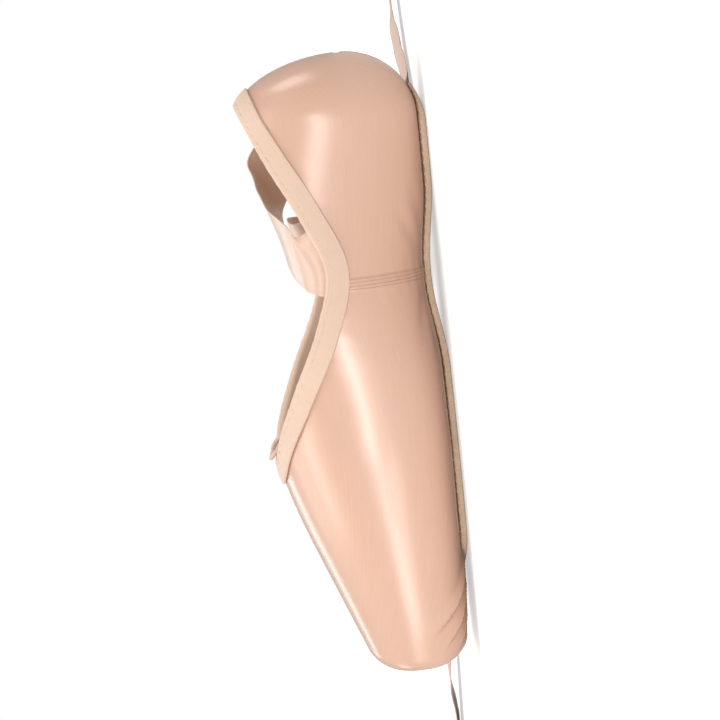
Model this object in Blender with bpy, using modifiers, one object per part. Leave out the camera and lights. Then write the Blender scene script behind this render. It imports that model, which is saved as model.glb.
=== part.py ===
"""A pointe shoe that stands empty and unbent on its sole.

Metres, +Z up. The toe points along +X, and the last is the same on both sides of y = 0.
The origin is on the plane that the shoe stands on, under the middle of its length.
A station is a distance from the back of the heel, so x is the station less half the length.
"""
import math
from collections import namedtuple

import bmesh
import bpy
import numpy as np
from mathutils import Vector

# The last
LENGTH = 0.232
BALL_WIDTH = 0.087
WAIST_WIDTH = 0.074
HEEL_WIDTH = 0.057
THROAT_HEIGHT = 0.0676
WAIST_HEIGHT = 0.042
HEEL_HEIGHT = 0.069
VAMP_LENGTH = 0.080
ARCH_RISE = 0.0035
TOE_SPRING = 0.0025

# The round back of the heel
HEEL_REACH = 0.024
HEEL_BULGE_HEIGHT = 0.030
HEEL_RAKE = 0.016

# The platform and the rounds around it
PLATFORM_WIDTH = 0.057
TOE_HEIGHT = 0.0385
TOE_SOLE_ROUND = 0.009
TOE_VAMP_ROUND = 0.0065
TOE_SIDE_ROUND = 0.0045

# Walls and layers
QUARTER_WALL = 0.0014
BOX_WALL = 0.0026
PLATFORM_WALL = 0.0045
OUTSOLE_THICKNESS = 0.0027
OUTSOLE_SKIVE = 0.0012
INSOLE_THICKNESS = 0.0016
FIT_GAP = 0.0003
BINDING_EASE = 0.0005
RIBBON_EASE = 0.00045

# The sole
BALL_TREAD = 0.045
WAIST_TREAD = 0.024
HEEL_TREAD = 0.034
OUTSOLE_HEEL_MARGIN = 0.014
OUTSOLE_TOE_MARGIN = 0.033
OUTSOLE_HEEL_ROUND = 0.014
OUTSOLE_TOE_ROUND = 0.024
SOLE_LAP = 0.004
INSOLE_MARGIN = 0.004
INSOLE_HEEL_INSET = 0.015
INSOLE_TOE_INSET = 0.018

# Trim
BINDING_WIDTH = 0.0075
BINDING_LINING = 0.0060
BINDING_THICKNESS = 0.0007
BINDING_NOTCH = 0.0024
SEAM_WIDTH = 0.0045
SEAM_RISE = 0.0004
SEAM_EDGE = 0.0003
DRAWSTRING_DIAMETER = 0.0018
RIBBON_WIDTH = 0.025
RIBBON_THICKNESS = 0.0006
RIBBON_SEWN = 0.026
RIBBON_FOLD = 0.003
RIBBON_LIES = 2 * RIBBON_THICKNESS

# Fineness of the loft
SIDE_STEPS = 13
ROW_SPACING = 0.0066
LEAST_SPACING = 0.0004
MERGE_DISTANCE = 0.000001
HEEL_ROWS = 7
CORNER_ROWS = 6
COLLAR_END_ROWS = 8
COLLAR_END_REACH = 0.10 * LENGTH
OPENING_END_ROWS = 5
PLATE_SPACING = 0.0086
PLATE_END_ROWS = 6
OUTSOLE_COLUMNS = 4
INSOLE_COLUMNS = 6
RIBBON_ROWS = 30
RIBBON_COLUMNS = (-0.5, -0.25, 0.0, 0.25, 0.5)
DRAWSTRING_ROWS = 20
BINDING_LEG_ROWS = (0.5, 1.0)
WALK_STEPS = 6
SHARP_ANGLE = math.radians(40)

# Where things stand along the shoe
THROAT = LENGTH - VAMP_LENGTH
WAIST = 0.345 * LENGTH
WAIST_SEAM = 0.360 * LENGTH
RIBBON_SEAT = WAIST_SEAM - 0.36 * RIBBON_WIDTH
OUTSOLE_BACK = OUTSOLE_HEEL_MARGIN
OUTSOLE_TIP = LENGTH - OUTSOLE_TOE_MARGIN
ARCH_START, ARCH_END = 0.21 * LENGTH, 0.52 * LENGTH
SPRING_START = 0.74 * LENGTH
STIFF_START, STIFF_END = 0.56 * LENGTH, 0.82 * LENGTH

# The last from heel to toe, each length as a share of the size that it follows
Section = namedtuple("Section", "station width tread widest crown flank roof")
SECTIONS = (
    Section(0.000 * LENGTH, 0.97 * HEEL_WIDTH, 0.90 * HEEL_TREAD,
            1.00 * HEEL_BULGE_HEIGHT, 1.04 * HEEL_HEIGHT, 2.1, 2.1),
    Section(0.103 * LENGTH, 1.00 * HEEL_WIDTH, 1.00 * HEEL_TREAD,
            1.03 * HEEL_BULGE_HEIGHT, 1.05 * HEEL_HEIGHT, 2.1, 2.1),
    Section(0.230 * LENGTH, 0.87 * WAIST_WIDTH, 1.15 * WAIST_TREAD,
            0.84 * WAIST_HEIGHT, 1.14 * HEEL_HEIGHT, 2.0, 2.2),
    Section(0.345 * LENGTH, 1.00 * WAIST_WIDTH, 1.00 * WAIST_TREAD,
            0.88 * WAIST_HEIGHT, 1.19 * HEEL_HEIGHT, 1.9, 2.3),
    Section(0.448 * LENGTH, 0.94 * BALL_WIDTH, 0.69 * BALL_TREAD,
            0.47 * THROAT_HEIGHT, 1.14 * THROAT_HEIGHT, 2.0, 2.3),
    Section(0.552 * LENGTH, 0.98 * BALL_WIDTH, 0.91 * BALL_TREAD,
            0.41 * THROAT_HEIGHT, 1.07 * THROAT_HEIGHT, 2.2, 2.3),
    Section(0.655 * LENGTH, 1.00 * BALL_WIDTH, 1.00 * BALL_TREAD,
            0.385 * THROAT_HEIGHT, 1.00 * THROAT_HEIGHT, 2.3, 2.3),
    Section(0.741 * LENGTH, 0.975 * BALL_WIDTH, 0.98 * BALL_TREAD,
            0.37 * THROAT_HEIGHT, 0.915 * THROAT_HEIGHT, 2.3, 2.3),
    Section(0.845 * LENGTH, 0.88 * BALL_WIDTH, 0.87 * BALL_TREAD,
            0.35 * THROAT_HEIGHT, 1.37 * TOE_HEIGHT, 2.3, 2.4),
    Section(0.918 * LENGTH, 0.785 * BALL_WIDTH, 0.73 * BALL_TREAD,
            0.58 * TOE_HEIGHT, 1.195 * TOE_HEIGHT, 2.3, 2.5),
    Section(1.000 * LENGTH, 1.00 * PLATFORM_WIDTH, 0.55 * BALL_TREAD,
            0.575 * TOE_HEIGHT, 1.00 * TOE_HEIGHT, 2.4, 2.6),
)

# The collar seen from the side. Reach is the share of the way from the waist back to the heel (-1) or on to
# the throat (1), and rise is the share of the climb from the waist's height to the height there.
CollarPoint = namedtuple("CollarPoint", "reach rise")
COLLAR = (
    CollarPoint(-1.00, 1.00),
    CollarPoint(-0.67, 0.66),
    CollarPoint(-0.34, 0.27),
    CollarPoint(0.00, 0.00),
    CollarPoint(0.27, 0.22),
    CollarPoint(0.60, 0.65),
    CollarPoint(0.86, 0.93),
    CollarPoint(1.00, 1.00),
)

# The fold over the collar's edge: out is the share of the way from the fold's middle to its outer or, below
# zero, its inner face, and up is in thicknesses of the shell.
FoldPoint = namedtuple("FoldPoint", "out up")
BINDING_FOLD = (
    FoldPoint(1.00, 0.00),
    FoldPoint(0.72, 0.75),
    FoldPoint(0.00, 1.05),
    FoldPoint(-0.72, 0.75),
    FoldPoint(-1.00, 0.00),
)

# The waist seam's rib along a section, in turns: where it rises from the sole, and where it sinks before the
# binding, counted from the collar's edge.
RIB_RISES = (0.02, 0.14)
RIB_SINKS = (-0.33, -0.24)

# The free part of each ribbon, chosen by hand: the middle of its width, the height above the floor, and
# the angle in degrees by which its heelward edge is the higher one.
RibbonPoint = namedtuple("RibbonPoint", "x y z lean")
RIBBON_NEAR_ROUTE = (
    RibbonPoint(-0.0450, 0.0235, 0.0545, 8),
    RibbonPoint(-0.0515, 0.0090, 0.0590, 14),
    RibbonPoint(-0.0590, -0.0065, 0.0610, 20),
    RibbonPoint(-0.0660, -0.0205, 0.0620, 26),
    RibbonPoint(-0.0710, -0.0315, 0.0605, 26),
    RibbonPoint(-0.0740, -0.0395, 0.0540, 16),
    RibbonPoint(-0.0760, -0.0440, 0.0410, 8),
    RibbonPoint(-0.0780, -0.0475, 0.0250, 4),
    RibbonPoint(-0.0815, -0.0560, 0.0100, 0),
    RibbonPoint(-0.0900, -0.0740, 0.0020, 0),
    RibbonPoint(-0.1040, -0.0980, RIBBON_LIES, 0),
    RibbonPoint(-0.1250, -0.1210, 0.0030, 0),
    RibbonPoint(-0.1510, -0.1400, RIBBON_LIES, 0),
    RibbonPoint(-0.1830, -0.1570, RIBBON_LIES, 0),
    RibbonPoint(-0.2150, -0.1760, 0.0036, 0),
    RibbonPoint(-0.2440, -0.1990, RIBBON_LIES, 0),
    RibbonPoint(-0.2700, -0.2250, RIBBON_LIES, 0),
)
RIBBON_FAR_ROUTE = (
    RibbonPoint(-0.0412, -0.0365, 0.0525, 9),
    RibbonPoint(-0.0405, -0.0440, 0.0520, 9),
    RibbonPoint(-0.0395, -0.0500, 0.0430, 6),
    RibbonPoint(-0.0375, -0.0530, 0.0280, 3),
    RibbonPoint(-0.0335, -0.0590, 0.0125, 0),
    RibbonPoint(-0.0250, -0.0740, 0.0030, 0),
    RibbonPoint(-0.0120, -0.0960, RIBBON_LIES, 0),
    RibbonPoint(0.0070, -0.1170, RIBBON_LIES, 0),
    RibbonPoint(0.0330, -0.1350, 0.0034, 0),
    RibbonPoint(0.0640, -0.1480, RIBBON_LIES, 0),
    RibbonPoint(0.0980, -0.1580, RIBBON_LIES, 0),
    RibbonPoint(0.1320, -0.1700, RIBBON_LIES, 0),
    RibbonPoint(0.1640, -0.1860, 0.0040, 0),
    RibbonPoint(0.1930, -0.2060, RIBBON_LIES, 0),
    RibbonPoint(0.2220, -0.2260, RIBBON_LIES, 0),
    RibbonPoint(0.2530, -0.2410, RIBBON_LIES, 0),
)

# The drawstring's way from inside the throat, up through the notch, over the binding and back inside,
# chosen by hand and measured from the throat's edge.
DrawstringPoint = namedtuple("DrawstringPoint", "x y z")
DRAWSTRING_ROUTE = (
    DrawstringPoint(-0.0165, 0.0035, -0.0125),
    DrawstringPoint(-0.0100, 0.0020, -0.0080),
    DrawstringPoint(-0.0055, 0.0003, -0.0030),
    DrawstringPoint(-0.0042, -0.0010, 0.0008),
    DrawstringPoint(-0.0018, -0.0035, 0.0026),
    DrawstringPoint(-0.0022, -0.0070, 0.0022),
    DrawstringPoint(-0.0060, -0.0095, 0.0010),
    DrawstringPoint(-0.0092, -0.0085, -0.0020),
    DrawstringPoint(-0.0115, -0.0060, -0.0070),
    DrawstringPoint(-0.0165, -0.0050, -0.0125),
)

# Materials: colour and roughness
SATIN = ("satin", (0.80, 0.53, 0.40), 0.34)
BINDING_TAPE = ("binding_tape", (0.86, 0.60, 0.45), 0.62)
SOLE_LEATHER = ("sole_leather", (0.72, 0.58, 0.49), 0.80)
SOCK_CLOTH = ("sock_cloth", (0.82, 0.70, 0.58), 0.85)
CORD = ("drawstring_cord", (0.84, 0.60, 0.47), 0.70)
RIBBON_SATIN = ("ribbon_satin", (0.86, 0.62, 0.48), 0.42)


def smooth_read(stations, values, at):
    """Read a smooth curve through a table's values."""
    stations = np.asarray(stations)
    values = np.asarray(values)
    slopes = np.gradient(values, stations)
    i = int(np.clip(np.searchsorted(stations, at) - 1, 0, len(stations) - 2))
    step = stations[i + 1] - stations[i]
    t = (at - stations[i]) / step
    start = (1 + 2 * t) * (1 - t) ** 2 * values[i] + t * (1 - t) ** 2 * step * slopes[i]
    end = t * t * (3 - 2 * t) * values[i + 1] + t * t * (t - 1) * step * slopes[i + 1]
    return float(start + end)


def ease(value, low, high):
    """0 below low, 1 above high, and a soft step between."""
    t = min(max((value - low) / (high - low), 0.0), 1.0)
    return t * t * (3 - 2 * t)


def read_section(column, station):
    return smooth_read([s.station for s in SECTIONS], [getattr(s, column) for s in SECTIONS], station)


def rounded_off(distance, radius):
    """How far a round of this radius has drawn an edge in, this far before the face that it ends on."""
    reach = max(radius - distance, 0.0)
    return radius - math.sqrt(max(radius * radius - reach * reach, 0.0))


def heel_closing(station):
    """0 at the back of the heel, growing to 1 along a quarter of an ellipse."""
    reach = max(HEEL_REACH - station, 0.0) / HEEL_REACH
    return math.sqrt(max(1.0 - reach * reach, 0.0))


def sole_rise(station):
    """Height of the standing side of the sole: flat at the heel and the ball, with arch and toe spring."""
    rise = 0.0
    if ARCH_START < station < ARCH_END:
        rise = ARCH_RISE * math.sin(math.pi * (station - ARCH_START) / (ARCH_END - ARCH_START)) ** 2
    if station > SPRING_START:
        rise = TOE_SPRING * ((station - SPRING_START) / (LENGTH - SPRING_START)) ** 2
    return rise


Girth = namedtuple("Girth", "half flat bottom widest crown flank roof")


def girth(station):
    """The last's section at a station, drawn in at the heel's back and at the platform."""
    closing = heel_closing(station)
    before_face = LENGTH - station
    bottom = sole_rise(station) + OUTSOLE_THICKNESS + FIT_GAP
    bottom = HEEL_BULGE_HEIGHT - (HEEL_BULGE_HEIGHT - bottom) * closing
    crown = HEEL_BULGE_HEIGHT + (read_section("crown", station) - HEEL_BULGE_HEIGHT) * closing
    widest = HEEL_BULGE_HEIGHT + (read_section("widest", station) - HEEL_BULGE_HEIGHT) * closing
    half = read_section("width", station) / 2 * closing - rounded_off(before_face, TOE_SIDE_ROUND)
    flat = read_section("tread", station) / 2 * closing
    bottom += rounded_off(before_face, TOE_SOLE_ROUND)
    crown -= rounded_off(before_face, TOE_VAMP_ROUND)
    flank, roof = read_section("flank", station), read_section("roof", station)
    return Girth(half, flat, bottom, widest, crown, flank, roof)


def around(section, turn):
    """Point (y, z) of a section. Turn is -1 to 0 on the flat, to 1 up the flank and to 2 over the roof."""
    if turn <= 0.0:
        return section.flat * (turn + 1.0), section.bottom
    if turn <= 1.0:
        angle = turn * math.pi / 2
        out = section.flat + (section.half - section.flat) * math.sin(angle) ** (2 / section.flank)
        depth = (section.widest - section.bottom) * max(math.cos(angle), 0.0) ** (2 / section.flank)
        return out, section.widest - depth
    angle = (turn - 1.0) * math.pi / 2
    out = section.half * max(math.cos(angle), 0.0) ** (2 / section.roof)
    up = section.widest + (section.crown - section.widest) * math.sin(angle) ** (2 / section.roof)
    return out, up


def turn_at_height(section, height):
    """The turn at which the side of a section reaches a height."""
    if height >= section.widest:
        share = min((height - section.widest) / (section.crown - section.widest), 1.0)
        return 1.0 + math.asin(share ** (section.roof / 2)) / (math.pi / 2)
    share = min((section.widest - height) / (section.widest - section.bottom), 1.0)
    return math.acos(share ** (section.flank / 2)) / (math.pi / 2)


def collar_height(station):
    reaches = [p.reach for p in COLLAR]
    rises = [p.rise for p in COLLAR]
    if station < WAIST:
        reach = (station - WAIST) / (WAIST - HEEL_RAKE)
        top = girth(HEEL_RAKE).crown
    else:
        reach = (station - WAIST) / (THROAT - WAIST)
        top = girth(THROAT).crown
    return WAIST_HEIGHT + smooth_read(reaches, rises, reach) * (top - WAIST_HEIGHT)


def collar_turn(station):
    """Where the wall ends at the top: at the collar, or over the middle where the shoe is closed."""
    if station <= HEEL_RAKE or station >= THROAT:
        return 2.0
    return turn_at_height(girth(station), collar_height(station))


def end_rounding(station, start, end, start_round, end_round):
    """0 outside a round-ended outline, 1 where it has its full width."""
    if station <= start or station >= end:
        return 0.0
    behind = max(1.0 - (station - start) / start_round, 0.0)
    ahead = max(1.0 - (end - station) / end_round, 0.0)
    return math.sqrt(1.0 - behind * behind) * math.sqrt(1.0 - ahead * ahead)


def outsole_half(station):
    """Half the width of the outsole, which covers the flat of the last."""
    rounding = end_rounding(station, OUTSOLE_BACK, OUTSOLE_TIP, OUTSOLE_HEEL_ROUND, OUTSOLE_TOE_ROUND)
    return girth(station).flat * rounding


def opening_half(station):
    """Half the width of the opening underneath, which the outsole overlaps."""
    rounding = end_rounding(station, OUTSOLE_BACK + SOLE_LAP, OUTSOLE_TIP - SOLE_LAP,
                            OUTSOLE_HEEL_ROUND - SOLE_LAP / 2, OUTSOLE_TOE_ROUND - SOLE_LAP / 2)
    return max(girth(station).flat - SOLE_LAP, 0.0) * rounding


def bottom_turn(station):
    """Where the wall ends underneath: at the opening, or on the middle line beyond it."""
    flat = girth(station).flat
    if flat <= 0.0:
        return -1.0
    return opening_half(station) / flat - 1.0


def wall(station):
    """Thickness of the upper: soft quarters, a stiffened box and a thick platform."""
    thickness = QUARTER_WALL + (BOX_WALL - QUARTER_WALL) * ease(station, STIFF_START, STIFF_END)
    return thickness + (PLATFORM_WALL - BOX_WALL) * ease(station, LENGTH - 2 * PLATFORM_WALL, LENGTH)


def place(station, y, z):
    """A point of the shoe in the part's own frame."""
    return Vector((station - LENGTH / 2, y, z))


def level(point):
    """Below 0 inside the last, 0 on it and above 0 outside."""
    section = girth(min(max(point.x + LENGTH / 2, LEAST_SPACING), LENGTH - LEAST_SPACING))
    if point.z >= section.widest:
        out = (abs(point.y) / section.half) ** section.roof
        return out + ((point.z - section.widest) / (section.crown - section.widest)) ** section.roof - 1.0
    beyond = max(abs(point.y) - section.flat, 0.0) / (section.half - section.flat)
    below = (section.widest - point.z) / (section.widest - section.bottom)
    return beyond ** section.flank + below ** section.flank - 1.0


def slope_of_level(point):
    step = LEAST_SPACING / 10
    axes = (Vector((step, 0, 0)), Vector((0, step, 0)), Vector((0, 0, step)))
    return Vector([(level(point + a) - level(point - a)) / (2 * step) for a in axes])


def outward(point):
    """The direction straight out of the last at a point on it."""
    return slope_of_level(point).normalized()


def walk_on_last(point, heading, distance):
    """Follow the last's surface from a point, in a heading, for a distance."""
    for _ in range(WALK_STEPS):
        normal = outward(point)
        heading = (heading - normal * heading.dot(normal)).normalized()
        point = point + heading * (distance / WALK_STEPS)
        slope = slope_of_level(point)
        point = point - slope * (level(point) / slope.length_squared)
    return point


def spaced(start, end, spacing):
    count = max(int(math.ceil(abs(end - start) / spacing)), 1)
    return [start + (end - start) * i / count for i in range(count + 1)]


def turning(start, end, count):
    """Stations of even steps around a quarter of a round that starts at the start."""
    return [start + (end - start) * (1 - math.cos(math.pi / 2 * i / count)) for i in range(count + 1)]


def quickening(start, end, count):
    """Stations that are close together at the start and spread out towards the end."""
    return [start + (end - start) * (i / count) ** 2 for i in range(count + 1)]


def station_rows():
    """The stations of the upper's rows: close where an edge turns round an end, wide between."""
    heel = turning(0.0, HEEL_REACH, HEEL_ROWS + 1)[:HEEL_ROWS]
    corner = list(reversed(turning(LENGTH, LENGTH - TOE_SOLE_ROUND, CORNER_ROWS)))
    seam = [WAIST_SEAM - SEAM_WIDTH / 2 - SEAM_EDGE, WAIST_SEAM - SEAM_WIDTH / 2,
            WAIST_SEAM + SEAM_WIDTH / 2, WAIST_SEAM + SEAM_WIDTH / 2 + SEAM_EDGE]
    opening_back, opening_tip = OUTSOLE_BACK + SOLE_LAP, OUTSOLE_TIP - SOLE_LAP
    fixed = [0.0, HEEL_RAKE, THROAT, opening_back, opening_tip] + seam + corner[1:]
    free = heel + corner[:1]
    free += quickening(HEEL_RAKE, HEEL_RAKE + COLLAR_END_REACH, COLLAR_END_ROWS)
    free += quickening(THROAT, THROAT - COLLAR_END_REACH, COLLAR_END_ROWS)
    free += quickening(opening_back, opening_back + OUTSOLE_HEEL_ROUND, OPENING_END_ROWS)
    free += quickening(opening_tip, opening_tip - OUTSOLE_TOE_ROUND, OPENING_END_ROWS)
    rows = sorted(set(fixed))
    for station in sorted(free):
        if min(abs(station - row) for row in rows) > LEAST_SPACING:
            rows.append(station)
    for station in spaced(0.0, LENGTH, ROW_SPACING / 2):
        if min(abs(station - row) for row in rows) > ROW_SPACING / 2:
            rows.append(station)
    return sorted(rows)


def collar_stations():
    return [s for s in station_rows() if HEEL_RAKE <= s <= THROAT]


def bent_grid(name, rows, columns, shape):
    """A flat grid whose corner (row, column) is moved to shape(row, column)."""
    mesh = bpy.data.meshes.new(name)
    bm = bmesh.new()
    bmesh.ops.create_grid(bm, x_segments=rows - 1, y_segments=columns - 1, size=1.0)
    marks = bm.verts.layers.float.new("wall")
    for vertex in bm.verts:
        row = round((vertex.co.x + 1) / 2 * (rows - 1))
        column = round((vertex.co.y + 1) / 2 * (columns - 1))
        point, mark = shape(row, column)
        vertex.co = point
        vertex[marks] = mark
    bmesh.ops.remove_doubles(bm, verts=bm.verts, dist=MERGE_DISTANCE)
    bmesh.ops.dissolve_degenerate(bm, edges=bm.edges, dist=MERGE_DISTANCE)
    bm.to_mesh(mesh)
    bm.free()
    return mesh


def make_object(name, mesh, finish):
    """Link a mesh as a named piece with its own material."""
    label, colour, roughness = finish
    material = bpy.data.materials.new(label + "_of_" + name)
    material.use_nodes = True
    shader = material.node_tree.nodes["Principled BSDF"]
    shader.inputs["Base Color"].default_value = (*colour, 1.0)
    shader.inputs["Roughness"].default_value = roughness
    shader.inputs["Metallic"].default_value = 0.0
    mesh.materials.append(material)
    mesh.shade_smooth()
    mesh.set_sharp_from_angle(angle=SHARP_ANGLE)
    piece = bpy.data.objects.new(name, mesh)
    SHOE.objects.link(piece)
    return piece


def seam_rise(station, turn, top_turn):
    """The felled waist seam is a low rib on the wall, from the feather line to the binding."""
    if abs(station - WAIST_SEAM) > SEAM_WIDTH / 2 + SEAM_EDGE / 2:
        return 0.0
    return SEAM_RISE * ease(turn, *RIB_RISES) * (1.0 - ease(turn - top_turn, *RIB_SINKS))


def make_upper():
    """One hollow wall, lofted over half the last, mirrored, and given its thickness inwards."""
    rows = station_rows()
    thickest = PLATFORM_WALL
    face = girth(LENGTH)
    face_middle = (face.bottom + face.crown) / 2

    def shape(row, column):
        share = 1.0 - column / SIDE_STEPS
        if row == len(rows):
            return place(LENGTH, 0.0, face_middle), wall(LENGTH) / thickest
        station = rows[row]
        section = girth(station)
        low, high = bottom_turn(station), collar_turn(station)
        turn = low + (high - low) * share
        y, z = around(section, turn)
        point = place(station, y, z)
        if seam_rise(station, turn, high) > 0.0:
            point += outward(point) * seam_rise(station, turn, high)
        if turn == 2.0:
            point.y = 0.0
        return point, wall(station) / thickest

    mesh = bent_grid("upper", len(rows) + 1, SIDE_STEPS + 1, shape)
    upper = make_object("upper", mesh, SATIN)
    group = upper.vertex_groups.new(name="wall")
    for index, mark in enumerate(mesh.attributes["wall"].data):
        group.add([index], mark.value, "REPLACE")
    mirror = upper.modifiers.new("far half", "MIRROR")
    mirror.use_axis = (False, True, False)
    mirror.use_clip = True
    mirror.merge_threshold = 20 * MERGE_DISTANCE
    solidify = upper.modifiers.new("wall", "SOLIDIFY")
    solidify.thickness = thickest
    solidify.offset = -1.0
    solidify.vertex_group = "wall"
    solidify.use_even_offset = True
    solidify.use_quality_normals = True
    upper.modifiers.new("facets", "TRIANGULATE")


def make_plate(name, stations, columns, half, low, high, finish):
    """A plate between two curved faces, with the outline half(station)."""
    mesh = bpy.data.meshes.new(name)
    bm = bmesh.new()
    bmesh.ops.create_grid(bm, x_segments=len(stations) - 1, y_segments=columns, size=1.0)
    for vertex in bm.verts:
        station = stations[round((vertex.co.x + 1) / 2 * (len(stations) - 1))]
        vertex.co = (station, vertex.co.y * half(station), 0.0)
    lifted = bmesh.ops.extrude_face_region(bm, geom=bm.faces[:])["geom"]
    lifted = {v for v in lifted if isinstance(v, bmesh.types.BMVert)}
    for vertex in bm.verts:
        station, y, _ = vertex.co
        vertex.co = place(station, y, high(station, y) if vertex in lifted else low(station, y))
    bmesh.ops.remove_doubles(bm, verts=bm.verts, dist=MERGE_DISTANCE)
    bmesh.ops.dissolve_degenerate(bm, edges=bm.edges, dist=MERGE_DISTANCE)
    bmesh.ops.recalc_face_normals(bm, faces=bm.faces)
    bm.to_mesh(mesh)
    bm.free()
    make_object(name, mesh, finish)


def plate_stations(start, end, start_round, end_round):
    """Stations along a round-ended plate, close together where its ends turn."""
    stations = turning(start, start + start_round, PLATE_END_ROWS)
    stations += spaced(start + start_round, end - end_round, PLATE_SPACING)[1:-1]
    return stations + list(reversed(turning(end, end - end_round, PLATE_END_ROWS)))


def make_outsole():
    """The leather sole, skived thinner at both ends, with its standing side flat at heel and ball."""
    def high(station, _):
        return girth(station).bottom - FIT_GAP

    def low(station, _):
        from_ends = min(station - OUTSOLE_BACK, OUTSOLE_TIP - station)
        skived = OUTSOLE_SKIVE * (1.0 - ease(from_ends, 0.0, OUTSOLE_HEEL_ROUND))
        return high(station, 0.0) - OUTSOLE_THICKNESS + skived

    stations = plate_stations(OUTSOLE_BACK, OUTSOLE_TIP, OUTSOLE_HEEL_ROUND, OUTSOLE_TOE_ROUND)
    make_plate("outsole", stations, OUTSOLE_COLUMNS, outsole_half, low, high, SOLE_LEATHER)


def last_floor(station, y):
    """Height of the last's underside."""
    section = girth(station)
    beyond = max(abs(y) - section.flat, 0.0) / (section.half - section.flat)
    depth = (section.widest - section.bottom) * (1.0 - beyond ** section.flank) ** (1 / section.flank)
    return section.widest - depth


def make_insole():
    """The sock, lying on the inside of the upper's turned-in edge."""
    start, end = INSOLE_HEEL_INSET, LENGTH - INSOLE_TOE_INSET

    def half(station):
        rounding = end_rounding(station, start, end, OUTSOLE_HEEL_ROUND, OUTSOLE_TOE_ROUND)
        return (girth(station).flat + INSOLE_MARGIN) * rounding

    def low(station, y):
        step = LEAST_SPACING
        along = (last_floor(station + step, y) - last_floor(station - step, y)) / (2 * step)
        across = (last_floor(station, abs(y) + step) - last_floor(station, abs(y))) / step
        lean = math.sqrt(1.0 + along * along + across * across)
        return last_floor(station, y) + (wall(station) + RIBBON_EASE) * lean

    def high(station, y):
        return low(station, y) + INSOLE_THICKNESS

    stations = plate_stations(start, end, OUTSOLE_HEEL_ROUND, OUTSOLE_TOE_ROUND)
    make_plate("insole", stations, INSOLE_COLUMNS, half, low, high, SOCK_CLOTH)


def collar_point(station, side):
    y, z = around(girth(station), collar_turn(station))
    return place(station, side * y, z)


def collar_loop():
    """Points along the collar's edge, from one end of the binding round the heel to the other end."""
    stations = collar_stations()
    near = [collar_point(s, 1.0) for s in reversed(stations)]
    far = [collar_point(s, -1.0) for s in stations]
    loop = [p for p in near + far[1:] if abs(p.y) > BINDING_NOTCH or p.x < 0.0]
    first = collar_point(THROAT, 1.0)
    first.y = BINDING_NOTCH / 2
    first.x -= LEAST_SPACING / 10
    return [first] + loop + [Vector((first.x, -first.y, first.z))]


def collar_frames():
    """Each point of the loop with its outward direction and its direction down the wall."""
    loop = collar_loop()
    frames = []
    for i, point in enumerate(loop):
        before, after = loop[max(i - 1, 0)], loop[min(i + 1, len(loop) - 1)]
        along = after - before
        if i in (0, len(loop) - 1):
            along = Vector((0.0, 1.0, 0.0))
        normal = outward(point)
        down = along.normalized().cross(normal).normalized()
        frames.append((point, normal, down))
    return frames


def make_binding():
    """The folded casing: a leg outside, a leg inside and a rounded fold over the collar's edge."""
    frames = collar_frames()
    shell = BINDING_EASE + BINDING_THICKNESS

    def ring(frame):
        edge, normal, down = frame
        lining = wall(edge.x + LENGTH / 2) + BINDING_EASE
        middle = (shell - lining - BINDING_THICKNESS) / 2
        reach = shell - middle
        outside = [walk_on_last(edge, down, BINDING_WIDTH * share) for share in BINDING_LEG_ROWS]
        inside = [walk_on_last(edge, down, BINDING_LINING * share) for share in BINDING_LEG_ROWS]
        points = [point + outward(point) * shell for point in reversed(outside)]
        points += [edge + normal * (middle + p.out * reach) - down * (p.up * shell) for p in BINDING_FOLD]
        points += [point - outward(point) * (lining + BINDING_THICKNESS) for point in inside]
        points += [point - outward(point) * lining for point in reversed(inside)]
        points += [edge + normal * out - down * BINDING_EASE for out in (-lining, BINDING_EASE)]
        points += [point + outward(point) * BINDING_EASE for point in outside]
        return points

    rings = [ring(frame) for frame in frames]
    corners = len(rings[0])

    def shape(row, column):
        return rings[row][column % corners], 1.0

    mesh = bent_grid("binding", len(rings), corners + 1, shape)
    bm = bmesh.new()
    bm.from_mesh(mesh)
    bmesh.ops.holes_fill(bm, edges=[e for e in bm.edges if e.is_boundary], sides=0)
    bmesh.ops.triangulate(bm, faces=bm.faces)
    bmesh.ops.recalc_face_normals(bm, faces=bm.faces)
    bm.to_mesh(mesh)
    bm.free()
    make_object("binding", mesh, BINDING_TAPE)


def smooth_route(points, count):
    """Even points along one smooth curve through the given points, which may hold more than a place."""
    lengths = [0.0]
    for a, b in zip(points, points[1:]):
        lengths.append(lengths[-1] + (Vector(b[:3]) - Vector(a[:3])).length)
    stops = [lengths[-1] * i / (count - 1) for i in range(count)]
    columns = [[p[axis] for p in points] for axis in range(len(points[0]))]
    return [[smooth_read(lengths, column, stop) for column in columns] for stop in stops]


def sewn_rows(side):
    """The sewn end: rows that follow the collar, against the quarter's inside and then past the binding."""
    against_wall = wall(RIBBON_SEAT) + RIBBON_EASE + RIBBON_THICKNESS / 2
    past_binding = against_wall + BINDING_EASE + BINDING_THICKNESS
    past_lining = BINDING_LINING + 2 * FIT_GAP
    past_fold = BINDING_EASE + BINDING_THICKNESS + RIBBON_FOLD
    seats = ((RIBBON_SEWN, against_wall), (RIBBON_SEWN / 2, against_wall),
             (past_lining + RIBBON_FOLD, against_wall), (past_lining, past_binding),
             (past_lining / 2, past_binding), (0.0, past_binding), (-past_fold, past_binding))
    rows = []
    for depth, stand_off in seats:
        row = []
        for share in RIBBON_COLUMNS:
            edge = collar_point(RIBBON_SEAT + share * RIBBON_WIDTH, side)
            ahead = collar_point(RIBBON_SEAT + share * RIBBON_WIDTH + LEAST_SPACING, side)
            down = outward(edge).cross(ahead - edge).normalized() * side
            point = walk_on_last(edge, down, depth) if depth > 0.0 else edge + down * depth
            row.append(point - outward(edge if depth < 0.0 else point) * stand_off)
        rows.append(row)
    return rows


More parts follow.
